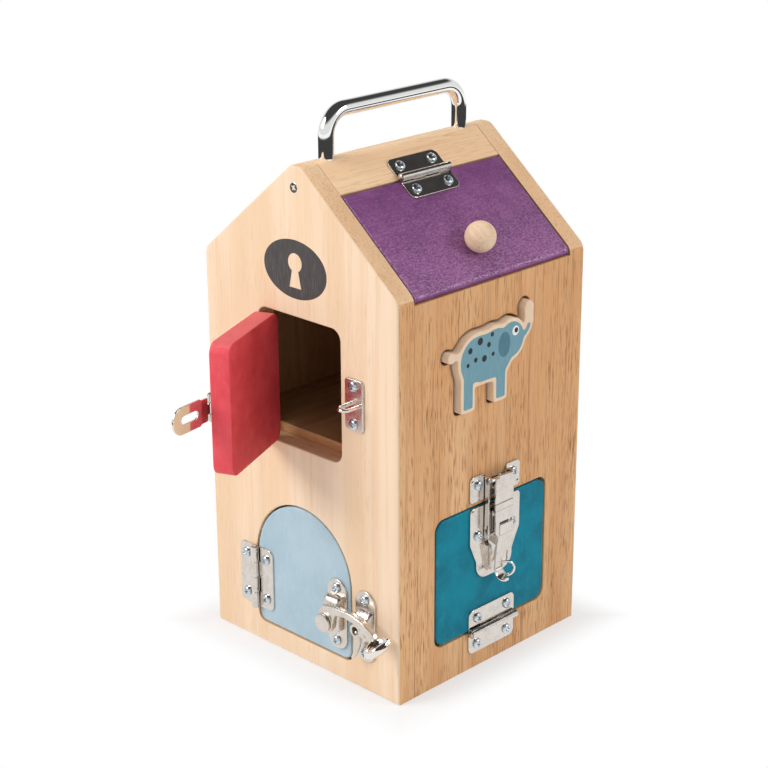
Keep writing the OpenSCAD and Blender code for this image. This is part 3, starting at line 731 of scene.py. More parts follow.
def figure_distance(x, y):
    """Distance to the side view of an elephant with a raised trunk, less than zero inside it."""
    def ball(cx, cy, radius):
        return np.hypot(x - cx, y - cy) - radius

    def bar(x0, y0, x1, y1, radius):
        px = np.abs(x - (x0 + x1) / 2) - (x1 - x0) / 2 + radius
        py = np.abs(y - (y0 + y1) / 2) - (y1 - y0) / 2 + radius
        outside = np.hypot(np.maximum(px, 0), np.maximum(py, 0))
        return outside + np.minimum(np.maximum(px, py), 0) - radius

    reach = np.hypot(x - 66, y - 47)
    trunk = np.maximum(np.maximum(reach - 13, 5 - reach), np.maximum(66 - x, y - 47.5))
    body = [ball(26, 33, 17), ball(44, 33, 18), ball(58, 38, 14), bar(26, 15, 44, 50, 1)]
    legs = [bar(12, 0, 25, 30, 2), bar(42, 0, 55, 30, 2)]
    tail = [ball(3.4, 39, 3.4), bar(3.4, 37, 13.4, 41, 1)]
    parts = body + legs + tail + [trunk, bar(71, 45, 79, 57, 1), ball(75, 55.8, 4)]
    soft = 1.6
    whole = parts[0]
    for part in parts[1:]:
        blend = np.maximum(soft - np.abs(whole - part), 0) / soft
        whole = np.minimum(whole, part) - blend * blend * soft / 4
    return whole


def contour(level):
    """Outer loop of the figure's outline, grown by level millimetres."""
    xs, ys = np.arange(-6, 88, TRACE_PITCH), np.arange(-6, 68, TRACE_PITCH)
    field = figure_distance(*np.meshgrid(xs, ys, indexing="ij")) - level / FIGURE_K
    follow = {}
    for i in range(len(xs) - 1):
        for j in range(len(ys) - 1):
            corners = [(i, j), (i + 1, j), (i + 1, j + 1), (i, j + 1)]
            sides = list(zip(corners, corners[1:] + corners[:1]))
            leave = [frozenset((a, b)) for a, b in sides if field[a] < 0 <= field[b]]
            enter = [frozenset((a, b)) for a, b in sides if field[b] < 0 <= field[a]]
            follow.update(zip(leave, enter))

    def crossing(ends):
        a, b = sorted(ends)
        share = field[a] / (field[a] - field[b])
        start, stop = (Vector((float(xs[i]), float(ys[j]))) for i, j in (a, b))
        return start.lerp(stop, float(share))

    loops = []
    while follow:
        here = next(iter(follow))
        loop = []
        while here in follow:
            loop.append(crossing(here))
            here = follow.pop(here)
        loops.append(loop)
    points = moved(max(loops, key=len), *FIGURE, FIGURE_K)
    kept = [b for a, b, _ in neighbours(points) if (b - a).length > TRACE_STEP]
    area = sum(a.x * b.y - a.y * b.x for _, a, b in neighbours(kept))
    for _ in range(TRACE_PASSES):
        kept = [(a + b * 2 + c) / 4 for a, b, c in neighbours(kept)]
    kept = [b for a, b, c in neighbours(kept) if abs((b - a).cross(c - b)) > TRACE_BEND]
    return kept if area > 0 else kept[::-1]


def inward(way):
    return way.z < -0.9


def wooden(name, shape, place, material, body=None, node=None):
    """A board named after its solid, which is also its body unless another is given."""
    piece(name + "_board", shape, place, body or name, material, node or name)


def house_board(name, shape, place, material, node=None):
    wooden(name, shape, place, material, "house", node)


DISC_X, DISC_Z = -1.5, 250
keyhole = (keyhole_loop(DISC_X, DISC_Z), None, [])
keyhole_print = (circle(DISC_X, DISC_Z, 26, 17.5, 96), CHARCOAL, [keyhole])
front_loops = [gable_loop(), hole(door_loop(*RED_HOLE, 0)), hole(arch_loop(0))]
front_gable = slab(front_loops, -PANEL, 0, [1.3, 0.8, 0.6], [0.2, 0.6, 0.6], 4,
                   marks=[keyhole_print])
back_gable = slab([gable_loop()], -PANEL, 0, 1.3, 0.2, 4)
for gable in (front_gable, back_gable):
    # The x-facing edges get the darker side wood and the inward faces the darker inside wood:
    # painted shade.
    gable.repaint(SHADED_SIDE_WOOD, lambda way: abs(way.x) > 0.95)
    gable.repaint(SLOPE_WOOD, lambda way: 0.3 < way.y and abs(way.z) < 0.4)
    gable.repaint(INSIDE_SHADE_WOOD, inward)
house_board("front_gable", front_gable, FRONT, FRONT_WOOD)
house_board("back_gable", back_gable, BACK, FRONT_WOOD)
wall_loop = box_loop(-INNER + 0.06, 0, INNER - 0.06, WALL_TOP, 0.5)
left_wall = slab([wall_loop], -PANEL, 0, 0.2, 0.2, 3)
right_loops = [wall_loop, hole(door_loop(*TEAL_HOLE, 0)), hole(contour(FIGURE_GAP))]
# The walls of the figure's hole get the darker brown wood: painted shade in the gap round the
# figure.
right_wall = slab(right_loops, -PANEL, 0, [0.2, 0.6, 0.4], [0.2, 0.4, 0.4], 4,
                  [None, None, HOLE_SHADE_WOOD])
# The walls' inward faces get the darker inside wood: painted shade.
house_board("left_wall", left_wall.repaint(INSIDE_SHADE_WOOD, inward), LEFT, SHADED_SIDE_WOOD)
house_board("right_wall", right_wall.repaint(INSIDE_SHADE_WOOD, inward), SIDE, SHADED_SIDE_WOOD)
floor_half = INNER - 0.1
floor_loop = box_loop(-floor_half, -floor_half, floor_half, floor_half, 0.8)
for name, top in (("lower_floor", FLOOR_T), ("upper_floor", SHELF_Z)):
    sheet = slab([floor_loop], top - FLOOR_T, top, 0.5, 0.5, 3)
    # The floors' tops get the darker inside wood: painted shade.
    sheet.repaint(INSIDE_SHADE_WOOD, lambda way: way.z > 0.9)
    house_board(name, sheet, Matrix(), FLOOR_WOOD)
outer, under = on_slope(RIDGE_S, 0), on_slope(RIDGE_S, ROOF_T)
ridge_loop = rounded([(-under[0], under[1]), under, outer, (RIDGE_FLAT, RIDGE_TOP),
                      (-RIDGE_FLAT, RIDGE_TOP), (-outer[0], outer[1])],
                     [0.6, 0.6, 0.8, 6, 6, 0.8])
house_board("ridge", slab([ridge_loop], -ROOF_RUN, ROOF_RUN, 0.4, 0.4, 3), SECTION, RIDGE_WOOD,
            "ridge_block")


def roof_loop(s, rest):
    """Section of a roof board from its seam at s down to its foot."""
    end = HALF - 0.5
    foot = HALF - (rest + ROOF_T / COS - EAVE) / FALL
    corners = [on_slope(s, 0), on_slope(s, ROOF_T), (foot, rest), (end, rest),
               (end, EAVE + 0.5 * FALL)]
    return rounded(corners, [1.3, 1.3, 1.3, 1.3, 1.4])


left_roof = slab([mirrored(roof_loop(RIDGE_S, WALL_TOP))], -ROOF_RUN, ROOF_RUN, 0.8, 0.8, 3)
house_board("left_roof", left_roof, SECTION, RIDGE_WOOD)
lid = slab([roof_loop(RIDGE_S + GAP, WALL_TOP + 0.8)], -INNER + 1, INNER - 1, 1.1, 1.1, 4)
# The lid's lower arris along the eave gets the full edge weight, drawn as a lighter line in the
# stain's pale edge colour.
arris = Vector((HALF - 0.5, EAVE + 0.2))
lid.rim = [max(rim, 1.5 - 1.2 * (p.xy - arris).length) for p, rim in zip(lid.points, lid.rim)]
wooden("roof_lid", lid, SECTION, PURPLE)

# Doors
red_door = slab([door_loop(*RED_HOLE, GAP)], -DOOR_T, 0, 0.8, 0.8, 5)
# The door's edges and its top face get lighter copies of the paint: painted light.
red_door.repaint(RED_LIT_EDGE, lambda way: abs(way.z) < 0.75)
red_door.repaint(RED_LIT_TOP, lambda way: way.y > 0.75)
wooden("red_door", red_door, RED, RED_PAINT)
wooden("arch_door", slab([arch_loop(DOOR_GAP)], -DOOR_T, 0, 1.2, 1.2, 5), FRONT, BLUE_PAINT)
wooden("teal_door", slab([door_loop(*TEAL_HOLE, DOOR_GAP)], -DOOR_T, 0, 1.2, 1.2, 5), SIDE,
       TEAL_PAINT)


# Loose figure with its print
def figure_mark(x, y, rx, ry, coat, inside=()):
    return moved(circle(x, y, rx, ry, 32), *FIGURE, FIGURE_K), coat, list(inside)


SPOTS = [(20, 40, 2.0), (29, 44, 2.4), (37, 40, 1.7), (25, 33, 1.6), (33, 32, 2.2), (41, 33, 1.4),
         (18, 31, 1.4), (40, 46, 1.5)]
spot_prints = [figure_mark(x, y, r, r, DARK_INK) for x, y, r in SPOTS]
pupil_print = figure_mark(62.6, 43.2, 1.7, 1.7, DARK_INK)
eye_print = figure_mark(62, 43, 3.2, 3.2, WHITE_INK, [pupil_print])
ear_print = figure_mark(51.5, 36.5, 5.6, 8.2, EAR_INK)
body_print = (contour(-PRINT_MARGIN), FIGURE_INK, spot_prints + [eye_print, ear_print])
figure = slab([contour(0.0)], FIGURE_OUT - FIGURE_T, FIGURE_OUT, 0.7, 0.7, 4, marks=[body_print])
wooden("figure", figure, SIDE, FIGURE_WOOD)

# Knob and handle
knob_angles = [math.radians(a) for a in range(-65, 90, 5)]
knob_side = [(KNOB_R * math.cos(a), KNOB_R * math.sin(a)) for a in knob_angles]
piece("lid_knob_ball", lathe([(0, knob_side[0][1])] + knob_side + [(0, KNOB_R)], 64),
      ROOF @ Matrix.Translation(KNOB), "roof_lid", BALL_WOOD, "lid_knob")
grip = RIDGE_TOP + HANDLE_RISE - HANDLE_R
half_bar = [(0, -HANDLE_LEG, RIDGE_TOP - 1.5 + k * 3) for k in range(5)]
half_bar += [(0, -HANDLE_LEG + HANDLE_BEND + p.x, grip - HANDLE_BEND + p.y)
             for p in arc(0, 0, HANDLE_BEND, 180, 90)]
half_bar += [(0, y, grip) for y in range(-36, 0, 12)]
whole_bar = half_bar + [(0, 0, grip)] + [(x, -y, z) for x, y, z in half_bar[::-1]]
piece("handle_bar", tube(whole_bar, HANDLE_R, 48), Matrix(), "house", CHROME, "handle")


# Screws: domed or flush heads with a cross recess
def cross_cut(head, low, high):
    for degrees in (0, 90):
        rings = []
        for z, length, width in ((low, 0.9, 0.30), (high, 2.3, 0.62)):
            rings.append([(length * x, width * y, z) for x, y in SQUARE])
        head = cut(head, Shape().join(loft(rings), spin(degrees)))
    return head


def crown_point(angle):
    return 3.2 * math.cos(math.radians(angle)) ** 0.7, 0.55 + 1.45 * math.sin(math.radians(angle))


DOME = [(0, -1.0), (1.5, -1.0), (1.5, -0.02), (2.9, 0.0), (3.2, 0.2)]
DOME += [crown_point(a) for a in range(0, 90, 9)] + [(0, 2.0)]
FLUSH = [(0, -1.4), (1.5, -1.4), (3.0, -0.2), (3.05, 0.0), (2.85, 0.14), (0, 0.16)]
PAN_SCREW = cross_cut(lathe(DOME, 40), 0.8, 2.6)
FLAT_SCREW = cross_cut(lathe(FLUSH, 40), -0.9, 0.6)


def screws(name, places, body, kind=PAN_SCREW):
    """Heads of one group of screws, each turned by an amount of its own."""
    heads = name + "_heads"
    group = Shape()
    for count, place in enumerate(places, len(heads)):
        group.join(kind, place @ spin(count * HEAD_TURN % 90))
    piece(heads, group, Matrix(), body, ZINC, name + "s", 30)


def pair(face, x, y, dx, dy, out):
    return [face @ shift(x + s * dx, y + s * dy, out) for s in (-1, 1)]


def hinge_spots(face, hinge, side):
    return pair(face @ hinge, side * SCREW_ACROSS, 0, 0, SCREW_ALONG, LEAF)


screws("gable_screw", [face @ shift(*GABLE_SCREW) for face in (FRONT, BACK)], "house", FLAT_SCREW)
house_spots = pair(FRONT, *STAPLE, 0, STAPLE_SCREW, STAPLE_T)
house_spots += pair(FRONT, KEEPER.x, CATCH_Z, 0, CATCH_SCREW, PLATE_T)
house_spots += hinge_spots(FRONT, RED_HINGE, -1) + hinge_spots(FRONT, ARCH_HINGE, -1)
house_spots += pair(TOGGLE, 0, STRIKE_Z, STRIKE_SCREW, 0, LEAF)
house_spots += hinge_spots(SIDE, TEAL_HINGE, -1) + hinge_spots(ROOF, LID_HINGE, -1)
screws("house_screw", house_spots, "house")
red_spots = pair(RED, HASP_SCREW_X, STAPLE.y, 0, HASP_SCREW, LEAF)
screws("red_door_screw", hinge_spots(RED, RED_HINGE, 1) + red_spots, "red_door")
arch_spots = pair(FRONT, LATCH_X, CATCH_Z, 0, CATCH_SCREW, PLATE_T)
screws("arch_door_screw", hinge_spots(FRONT, ARCH_HINGE, 1) + arch_spots, "arch_door")
teal_spots = pair(TOGGLE, 0, BASE_SCREW_Z, STRIKE_SCREW, 0, LEAF)
screws("teal_door_screw", hinge_spots(SIDE, TEAL_HINGE, 1) + teal_spots, "teal_door")
screws("lid_screw", hinge_spots(ROOF, LID_HINGE, 1), "roof_lid")


# Butt hinges: rolled knuckles on thin leaves
def fitting(name, shape, place, body, node, material=NICKEL, crease=CREASE):
    """A plated piece of a hinge or catch."""
    piece(name, shape, place, body, material, node, crease)


def knuckle_loop(side):
    reach = KNUCKLE + 1.4
    meets = math.degrees(math.asin((LEAF - AXIS_OUT) / KNUCKLE))
    loop = [Vector((reach, 0)), Vector((reach, LEAF))]
    loop += arc(0, AXIS_OUT, KNUCKLE, meets, 250, 10) + [Vector((0.5, 0))]
    return loop if side > 0 else mirrored(loop)


def add_knuckle(shape, side, x, low, high):
    roll = slab([knuckle_loop(side)], -high, -low, KNUCKLE_EDGE, KNUCKLE_EDGE, 1)
    shape.join(roll, shift(x, 0) @ ALONG_Y)


def hinge_leaf(side):
    inner, outer, end = KNUCKLE - 0.3, HINGE_W / 2, HINGE_LEN / 2
    loop = rounded([(inner, -end), (outer, -end), (outer, end), (inner, end)], [0.6, 4, 4, 0.6])
    shape = slab([loop if side > 0 else mirrored(loop)], 0, LEAF, 0.4, 0.0, 3)
    part = HINGE_LEN / 4
    for i in (0, 2) if side < 0 else (1, 3):
        low, high = (-end + k * part for k in (i, i + 1))
        add_knuckle(shape, side, 0, low + KNUCKLE_GAP, high - KNUCKLE_GAP)
    return shape


def pin(length, radius, head):
    """Pin along y about the origin with a domed rivet at each end."""
    reach = length / 2
    dome = [(head, 0.0), (head, 0.3), (head * 0.8, 0.55), (0, 0.65)]
    profile = [(r, -reach - z) for r, z in dome[::-1]] + [(radius, -reach), (radius, reach)]
    return Shape().join(lathe(profile + [(r, reach + z) for r, z in dome], 24), spin(-90, "X"))


for name, face, hinge, still, moving, child in (
        ("red", FRONT, RED_HINGE, "red_frame_leaf", "red_door_leaf", "red_door"),
        ("arch", FRONT, ARCH_HINGE, "arch_frame_leaf", "arch_door_leaf", "arch_door"),
        ("teal", SIDE, TEAL_HINGE, "teal_wall_leaf", "teal_door_leaf", "teal_door"),
        ("lid", ROOF, LID_HINGE, "ridge_leaf", "lid_leaf", "roof_lid")):
    swung = RED if name == "red" else face
    fitting(name + "_hinge_fixed_leaf", hinge_leaf(-1), face @ hinge, "house", still)
    fitting(name + "_hinge_moving_leaf", hinge_leaf(1), swung @ hinge, child, moving)
    fitting(name + "_hinge_rivet", pin(HINGE_LEN + RIVET_OVER, PIN_R, RIVET_R),
            face @ hinge @ shift(0, 0, AXIS_OUT), "house", name + "_hinge_pin")

# Hasp on the red door and its staple
hasp_leaf = slab([box_loop(HASP_LEAF_X, -11, HASP_X - KNUCKLE - 0.5, 11, 2)], 0, LEAF, 0.4, 0, 3)
for middle in (-0.36, 0.36):
    add_knuckle(hasp_leaf, -1, HASP_X, (middle - 0.13) * STRAP_W, (middle + 0.13) * STRAP_W)
fitting("hasp_door_leaf", hasp_leaf, RED @ shift(0, STAPLE.y), "red_door", "hasp_leaf")
fitting("hasp_rivet", pin(STRAP_W + RIVET_OVER, PIN_R, RIVET_R),
        RED @ shift(HASP_X, STAPLE.y, AXIS_OUT), "red_door", "hasp_pin")
wide, neck = STRAP_W / 2 + 0.3, STRAP_W * 0.2
narrow = wide - 1
root, fold, tip = HASP_X + KNUCKLE * 0.5, HASP_X + 4.2, HASP_X + STRAP_LEN
strap_loop = rounded([(tip, -wide), (tip, wide), (fold + 6.6, wide), (fold + 5.4, narrow),
                      (fold, narrow), (fold, -narrow), (fold + 5.4, -narrow), (fold + 6.6, -wide)],
                     [wide - 0.3, wide - 0.3, 1.2, 0.8, 1.2, 1.2, 0.8, 1.2])
strap_slot = [Vector((STAPLE.x + p.y, -p.x)) for p in stadium(5, 14)]
strap_span = AXIS_OUT - LEAF / 2, AXIS_OUT + LEAF / 2
strap = slab([box_loop(root, -neck, fold + 0.6, neck, 0.4)], *strap_span, 0.2, 0.2, 2)
strap.join(slab([strap_loop, hole(strap_slot)], *strap_span, 0.45, 0.3, 3),
           shift(fold, 0, AXIS_OUT) @ spin(-STRAP_SET, "Y") @ shift(-fold, 0, -AXIS_OUT))
barrel = [(2.2, -3.2), (KNUCKLE, -3.0), (KNUCKLE, 3.0), (2.2, 3.2)]
strap.join(lathe([(0, -3.2)] + barrel + [(0, 3.2)], 32), shift(HASP_X, 0, AXIS_OUT) @ ALONG_Y)
fitting("hasp_slotted_strap", strap, STRAP @ shift(0, STAPLE.y), "hasp_strap", "hasp_strap",
        BRIGHT)
fitting("staple_base", slab([box_loop(-7.2, -15.6, 7.2, 15.6, 2.5)], 0, STAPLE_T, 0.6, 0, 3),
        FRONT @ shift(*STAPLE), "house", "staple_plate", SATIN)
bow_leg = [(-BOW_R, 0, 0.6), (-BOW_R, 0, 4)]
bow = bow_leg + [(p.x, 0, BOW_TOP - BOW_R + p.y) for p in arc(0, 0, BOW_R, 180, 0, 10)]
bow += [(-x, y, z) for x, y, z in bow_leg[::-1]]
fitting("staple_bow", tube(bow, BOW_WIRE, 20), FRONT @ shift(*STAPLE), "house", "staple_loop",
        BRIGHT)


# Lever catch on the arched door and its keeper
def catch_plate(rows):
    """Round-ended plate with a pressed block: rows of half width, foot, top and height."""
    rings = [[(p.x, p.y, z) for p in box_loop(-half, foot, half, top, BLOCK_CORNER)]
             for half, foot, top, z in rows]
    return slab([stadium(CATCH_W, CATCH_LEN)], 0, PLATE_T, 0.6, 0, 3).join(loft(rings))


LATCH_PIVOT = FRONT @ shift(LATCH_X, LEVER_Z)
latch_plate = catch_plate([(6.8, -9, 13.4, 1.3), (6.8, -9, 13.4, 3.4), (6.5, -8.8, 12.6, 5.6),
                           (5.8, -8.2, 10.6, 7.0), (4.6, -7.4, 8.2, 7.7)])
fitting("latch_door_plate", latch_plate, FRONT @ shift(LATCH_X, CATCH_Z), "arch_door",
        "latch_plate", SATIN)
button = [(0, 1.4), (5, 1.4), (5, 8.0), (2.55, 8.0), (2.55, 12.4), (5.4, 12.4), (5.7, 12.7),
          (5.7, 13.7), (5.5, 14.1), (5.0, 14.3), (0, 14.5)]
fitting("latch_pivot_post", lathe(button), LATCH_PIVOT, "arch_door", "latch_post", SATIN)
lever_loop = rounded(
    [(-4.4, -4.2), (4.4, -4.2), (5.6, -2), (8.2, 7), (16.5, 8.6), (27.5, 6.8), (34.6, 2.8),
     (36.6, 0), (40.9, -0.6), (41.6, 3.6), (40, 6), (32.1, 10.3), (21.2, 12.8), (8, 12.4),
     (-2.2, 10.6), (-4.6, 6.6)],
    [0.9, 0.9, 1, 3, 6, 6, 2, 0.9, 0.9, 1.2, 1.5, 10, 10, 10, 2, 2])
lever = slab([lever_loop, hole(circle(0, 0, 2.7, count=32))], LEVER_OUT, 12.0, [0.7, 0.2], 0.4, 4)
lever.join(slab([circle(0, 0, 6.4), hole(circle(0, 0, 2.65, count=32))], LEVER_OUT + 0.1, 12.2,
                0.5, 0.4, 3))
lever.join(slab([box_loop(29.4, 0.5, 32.2, 9, 0.6)], LEVER_OUT + 0.1, 11.6, 0.4, 0.2, 2))


def thumb_rest():
    """Spoon-shaped finger rest that stands across the end of the lever and faces up."""
    angles = [math.radians(d) for d in range(-81, 0, 9)]
    outside = [(math.cos(a), math.sin(a)) for a in angles]
    lip = [(1, 0), (0.97, 0.08), (0.88, 0.08), (0.84, 0)]
    inside = [(x * 0.84, y * 0.76) for x, y in outside[::-1]]
    bowl = lathe([(0, -1)] + outside + lip + inside + [(0, -0.76)])
    lie = Matrix.Rotation(math.radians(-15), 3, "Z")
    across, depth = lie @ Vector((4.7, 0, 0)), lie @ Vector((0, 7.3, 0)) - Vector((0, 0, 3.4))
    return Shape().join(bowl, axes(Vector((0, 0, 9.6)), across, depth, Vector((45, 1.2, 12))))


lever.join(thumb_rest(), coat=BRIGHT)
fitting("latch_swing_lever", lever, LATCH_PIVOT, "latch_lever", "latch_lever", SATIN)
keeper = catch_plate([(6.6, -8.6, 11, 1.3), (6.4, -8.2, 9.6, 3.4), (5.4, -7.0, 6.0, 6.2)])
prong = [(52.6, 41.5, 6.3), (52.6, 38, 6.4), (52.4, 34, 6.2), (51.6, 30.4, 6), (50, 26, 6),
         (47.8, 22.4, 6)]
prong_path = curve([Vector(p) - Vector((KEEPER.x, CATCH_Z, 0)) for p in prong])
prong_last = len(prong_path) - 1
prong_radii = [2.5 - 1.6 * (k / prong_last) ** 2 for k in range(prong_last + 1)]
keeper.join(tube(prong_path, prong_radii, 20))
fitting("keeper_base", keeper, FRONT @ shift(KEEPER.x, CATCH_Z), "house", "keeper_plate",
        SATIN)
post_side = [(0, 1.4), (4.6, 1.4), (4.6, 9.0), (4.3, 9.7), (3.7, 9.9), (2.8, 9.9)]
post = lathe(post_side + [(2.6, 9.6), (2.6, 2.0), (0, 2.0)])
# The lining of the post's hole gets the dark nickel: painted shade in the hole.
lining = len(post_side) * TURNS
post.coat[lining:] = [DARK_SHADE_NICKEL] * len(post.coat[lining:])
fitting("keeper_round_post", post, FRONT @ shift(*KEEPER), "house", "keeper_post", SATIN)

# Toggle catch: strike, base, lever, claw and ring
DIMPLE = lathe([(0, -0.3), (1.3, -0.3), (1.3, 0.1), (0.9, 0.55), (0, 0.7)], 20)


def plate(points, radii, low=TOGGLE_BACK, high=TOGGLE_OUT, holes=(), edge=0.35):
    loops = [rounded(points, radii)] + [hole(loop) for loop in holes]
    return slab(loops, low, high, edge, 0.2, 3)


def upright(points, radii, low, high):
    """Plate on edge: its outline is height up the door and distance out."""
    return Shape().join(slab([rounded(points, radii)], low, high, 0.3, 0.3, 2), ALONG_X)


strike = plate([(-22.2, 110), (22, 110), (22, 126.6), (9.6, 126.6), (9.6, 122.6), (-9.4, 122.6),
                (-9.4, 126.6), (-22.2, 126.6)], [2.5, 2.5, 3, 1.5, 1, 1, 1.5, 3], 0, LEAF)
strike_hook = [(-6.3, 0.5), (-3.3, 0.5), (-1.3, 2.9), (2.2, 2.9), (2.2, 4.2), (-2.3, 4.2)]
strike.join(upright([(STRIKE_Z + y, z) for y, z in strike_hook], [0, 0.5, 0.5, 0.5, 0.5, 0.8],
                    -6, 6))
for x, y in ((-20.3, 123.4), (20, 112.6)):
    strike.join(DIMPLE, shift(x, y, LEAF))
fitting("toggle_strike_plate", strike, TOGGLE, "house", "toggle_strike")

mount = plate([(-21.8, 83), (-16, 70), (-16, 58.5), (16, 58.5), (16, 70), (22.5, 83),
               (22.5, 106.3), (-21.8, 106.3)], [6, 5, 9, 9, 5, 6, 3, 3], 0, LEAF)
mount_ear = [(95.5, 0.4), (101.3, 0.4), (102.6, 5), (101.9, 7.1), (100.1, 7.1), (98.9, 5)]
for x in (-7.4, 6.2):
    mount.join(upright(mount_ear, [0, 0.5, 1.6, 1.0, 1.0, 0.5], x, x + 1.2))
mount.join(DIMPLE, shift(-19.6, 104, LEAF))
ridge_feet = [(-14.4, 82.5), (-11, 69), (-6.4, 61.4), (-2.4, 63), (2, 76), (-5.4, 82.6)]
ridge_crest = [(-8.3, 79.5), (-8.2, 70), (-7.7, 64.6), (-7.5, 64.6), (-7.7, 72), (-7.9, 79.6)]
ridge_fold = loft([[(x, y, z) for x, y in loop]
                   for loop, z in ((ridge_feet, 0.9), (ridge_crest, 3.4))])
# The fold's left facets get the brown nickel: painted reflection and shade. The other facets are
# satin.
ridge_fold.coat[:4] = [FOLD_SHADE_NICKEL, FOLD_SHADE_NICKEL, SATIN, SATIN]
mount.join(ridge_fold)
fitting("toggle_base_plate", mount, TOGGLE, "teal_door", "toggle_base", crease=30)
fitting("toggle_rivet", pin(13.9, PIN_R, 1.7), TOGGLE @ shift(0, *LEVER_PIVOT) @ spin(90),
        "teal_door", "toggle_pin")


def finger_tab():
    """Spoon-shaped tab at the foot of the lever, curled outwards."""
    bend, thick = 6.0, 0.65
    rings = []
    for degrees in range(0, 97, 8):
        a = math.radians(degrees)
        half = 4.0 * math.sqrt(1 - ((degrees - 44) / 58) ** 2)
        centre = Vector((-2.3 + 0.5 * math.sin(a), 64.2 - bend * math.sin(a),
                         6.4 + bend * (1 - math.cos(a))))
        out = Vector((0, math.sin(a), math.cos(a)))
        ring = []
        for p in circle(0, 0, 1, count=32):
            across, up = (math.copysign(abs(v) ** 0.45, v) for v in p)
            ring.append(centre + Vector((across * half, 0, 0)) + out * (up * thick))
        rings.append(ring)
    return loft(rings)


TILT = shift(0, TONGUE_Z, TOGGLE_OUT) @ spin(TONGUE_TILT, "X") @ shift(0, -TONGUE_Z, -TOGGLE_OUT)
pull = plate([(-7.5, 88.2), (-5.0, 86.6), (8.1, 85.6), (8.1, 103), (-7.5, 103)],
             [0.8, 0, 0, 0.5, 0.5], holes=[box_loop(-4.3, 93.9, 7.2, 95.0, 0.4)], edge=[0.1, 0.3])
pull.join(plate([(-4.2, 86.7), (7.7, 86.7), (7.7, 93.7), (-4.2, 93.7)], [0.6] * 4,
                TOGGLE_OUT - 0.3, TOGGLE_OUT + 0.7))
# Thin dark strip under the tab: painted shade along the tab's foot.
seam = slab([box_loop(-4.2, 86.2, 7.7, 86.6, 0)], TOGGLE_BACK, TOGGLE_OUT + 0.06, 0.02, 0.02, 1)
pull.join(seam, coat=DARK_SHADE_NICKEL)
tongue = plate([(-5.2, 63.2), (4.6, 63.2), (6.8, 65.8), (8.1, 77), (8.1, 86.3), (-5.1, 86.9)],
               [0.6, 2.6, 2, 5, 0, 0], holes=[box_loop(0.8, 66.0, 5.4, 73.6, 1.0)])
pull.join(tongue, TILT)
pull.join(finger_tab(), coat=BRIGHT)
pull_arm = [(85.2, 2.4), (88.4, 2.0), (99.4, 2.4), (103.4, 4.6), (103.4, 6.4), (102.3, 8.1),
            (85.2, 8.1)]
for x in (-5.6, 4.4):
    pull.join(upright(pull_arm, [1.2, 1.2, 1.5, 1.5, 1.2, 0.5, 0.5], x, x + 1.2))
fitting("toggle_pull_lever", pull, TOGGLE, "toggle_lever", "toggle_lever")
fitting("claw_rivet", pin(19.3, 1.0, 1.5), TOGGLE @ shift(0, *CLAW_PIVOT) @ spin(90),
        "toggle_lever", "claw_pin")

claw = plate([(-7.8, 107.9), (8.3, 107.9), (7.7, 124.6), (-7.3, 125.6)], [0.5, 0.5, 4.5, 2])
claw.join(plate([(-7.6, 103.1), (8.6, 103.1), (8.5, 107.2), (-7.6, 107.2)], [0.5] * 4, edge=0.1))
claw.join(plate([(-7, 103.6), (7, 103.6), (7, 112), (-7, 112)], [0.5] * 4, TOGGLE_BACK - 0.6,
                TOGGLE_BACK + 0.2))
claw.join(upright([(122.4, 5.0), (124, 5.0), (124, 7.6), (122.4, 7.6)], [0.5] * 4, -9.8, 9.8))
claw_rail = [(84.4, 1.75), (124.6, 1.75), (124.6, 7.4), (122.6, 7.4), (121.2, 4.8), (84.4, 4.8)]
for x in (-10.0, 8.4):
    claw.join(upright(claw_rail, [1.4, 0.8, 0.8, 0.6, 2, 1.4], x, x + 1.6))
claw.join(DIMPLE, shift(-5.4, 123.6, TOGGLE_OUT))
fitting("toggle_hook_claw", claw, TOGGLE, "toggle_claw", "toggle_claw")
ring_path = [(p.x, p.y, 0) for p in circle(0, 0, 4.65, count=48)]
fitting("toggle_pull_ring", tube(ring_path, 0.75, 16, True),
        TOGGLE @ shift(3.4, 62.55, 8.0) @ spin(-45, "Y"), "pull_ring", "pull_ring", BRIGHT)

# Screws that keep their solids
for name in ("handle_screws", "knob_screw"):
    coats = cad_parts[name].data.materials
    coats.clear()
    coats.append(ZINC)


# Floor, light and camera, in metres
def stage_material():
    """White to the camera except for a soft shadow at the foot of the house."""
    box = Paintbox("pale_floor")
    box.set(Base_Color=(0.86, 0.86, 0.86), Roughness=0.9, Specular_IOR_Level=0.0)
    rays = box.node("LightPath").outputs
    spot = box.node("SeparateXYZ", {0: box.coords}).outputs
    reach = box.most(box.maths("ABSOLUTE", spot["X"]), box.maths("ABSOLUTE", spot["Y"]))
    seen = box.times(rays["Is Camera Ray"], box.ramp(reach, 0.081, 0.112, 0.50, 1.0))
    far = box.node("VectorMath", {0: box.coords}, operation="LENGTH").outputs["Value"]
    gloom = box.times(box.ramp(far, 0.70, 0.84, 0.0, 0.95), box.ramp(far, 1.55, 1.85, 1.0, 0.0))
    shine = box.times(rays["Is Glossy Ray"], box.maths("SUBTRACT", 1.0, gloom))
    strength = box.maths("ADD", rays["Is Camera Ray"], shine)
    white = box.node("Emission", {"Strength": strength}).outputs[0]
    share = box.most(seen, rays["Is Glossy Ray"])
    mixed = box.node("MixShader", {0: share, 1: box.shader.outputs[0], 2: white})
    out = next(n for n in box.tree.nodes if n.type == "OUTPUT_MATERIAL")
    box.put(out.inputs[0], mixed.outputs[0])
    return box.material


FLOOR_HALF = 6
FLOOR_DROP = 0.0002
floor_mesh = bpy.data.meshes.new("floor")
floor_corners = [(FLOOR_HALF * x, FLOOR_HALF * y, 0) for x, y in SQUARE]
floor_mesh.from_pydata(floor_corners, [], [[0, 1, 2, 3]])
floor_mesh.materials.append(stage_material())
floor = linked("floor", floor_mesh)
floor.location.z = -FLOOR_DROP

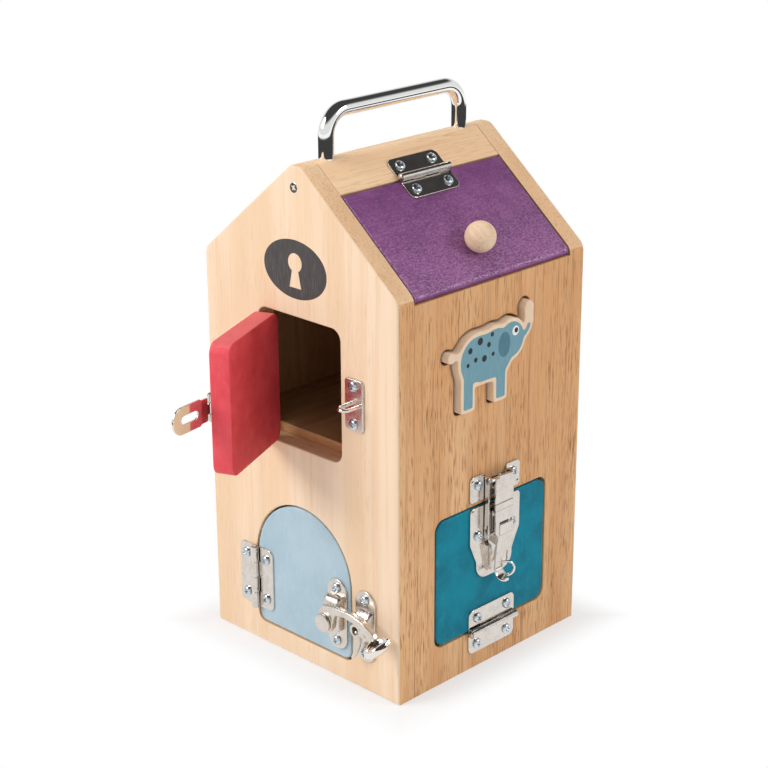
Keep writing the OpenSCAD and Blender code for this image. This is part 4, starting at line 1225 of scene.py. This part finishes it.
AMBIENT = 0.52
world = bpy.data.worlds.new("studio")
world.use_nodes = True
bpy.context.scene.world = world
sky = Graph(world.node_tree)
ambient = sky.tree.nodes["Background"]
sky.put(ambient.inputs["Color"], (1.0, 1.0, 1.0))
sky.put(ambient.inputs["Strength"], AMBIENT)
sky_rays = sky.node("LightPath").outputs
sky_way = sky.node("TexCoord").outputs["Generated"]
height = sky.node("SeparateXYZ", {0: sky_way}).outputs["Z"]
straight = sky.most(sky_rays["Is Camera Ray"], sky_rays["Is Transmission Ray"])
dusk = sky.ramp(height, 0.36, 0.66, 0.8, 0.05)
backdrop = sky.node("Background",
                    {"Color": (1.0, 1.0, 1.0), "Strength": sky.most(straight, dusk)})
sky_share = sky.most(straight, sky_rays["Is Glossy Ray"])
sky_mix = sky.node("MixShader",
                   {0: sky_share, 1: ambient.outputs[0], 2: backdrop.outputs[0]})
sky.put(sky.tree.nodes["World Output"].inputs[0], sky_mix.outputs[0])
LAMP_AIM = Vector((0, 0, 0.15))


def lamp(name, spot, size, watts, reflected=True):
    data = bpy.data.lights.new(name, "AREA")
    data.shape, data.size, data.energy = "SQUARE", size, watts
    made = linked(name, data)
    made.location = spot
    made.rotation_mode = "QUATERNION"
    made.rotation_quaternion = (LAMP_AIM - Vector(spot)).to_track_quat("-Z", "Y")
    made.visible_glossy = reflected


lamp("key", (-0.75, -1.35, 1.15), 0.9, 20.8)
lamp("fill", (1.35, 0.75, 0.95), 0.6, 7.6)
lamp("top", (0.15, 0.1, 1.7), 1.0, 3.0, False)

# Camera at the photograph's angle
AZIMUTH, ELEVATION, ROLL = math.radians(44.576), math.radians(20.544), math.radians(-0.3)
AIM_HEIGHT, AIM_LEFT, DISTANCE = 0.159306, 0.006949, 1.170183
level = math.cos(ELEVATION)
backward = Vector((math.sin(AZIMUTH) * level, -math.cos(AZIMUTH) * level, math.sin(ELEVATION)))
rightward = Vector((math.cos(AZIMUTH), math.sin(AZIMUTH), 0))
across = rightward * math.cos(ROLL) + backward.cross(rightward) * math.sin(ROLL)
aim = Vector((0, 0, AIM_HEIGHT)) - rightward * AIM_LEFT
lens = bpy.data.cameras.new("camera")
lens.sensor_width = 36.0
lens.lens = 89.553
camera = linked("camera", lens)
camera.matrix_world = axes(across, backward.cross(across), backward, aim + backward * DISTANCE)
bpy.context.scene.camera = camera
bpy.context.scene.view_settings.view_transform = "Standard"
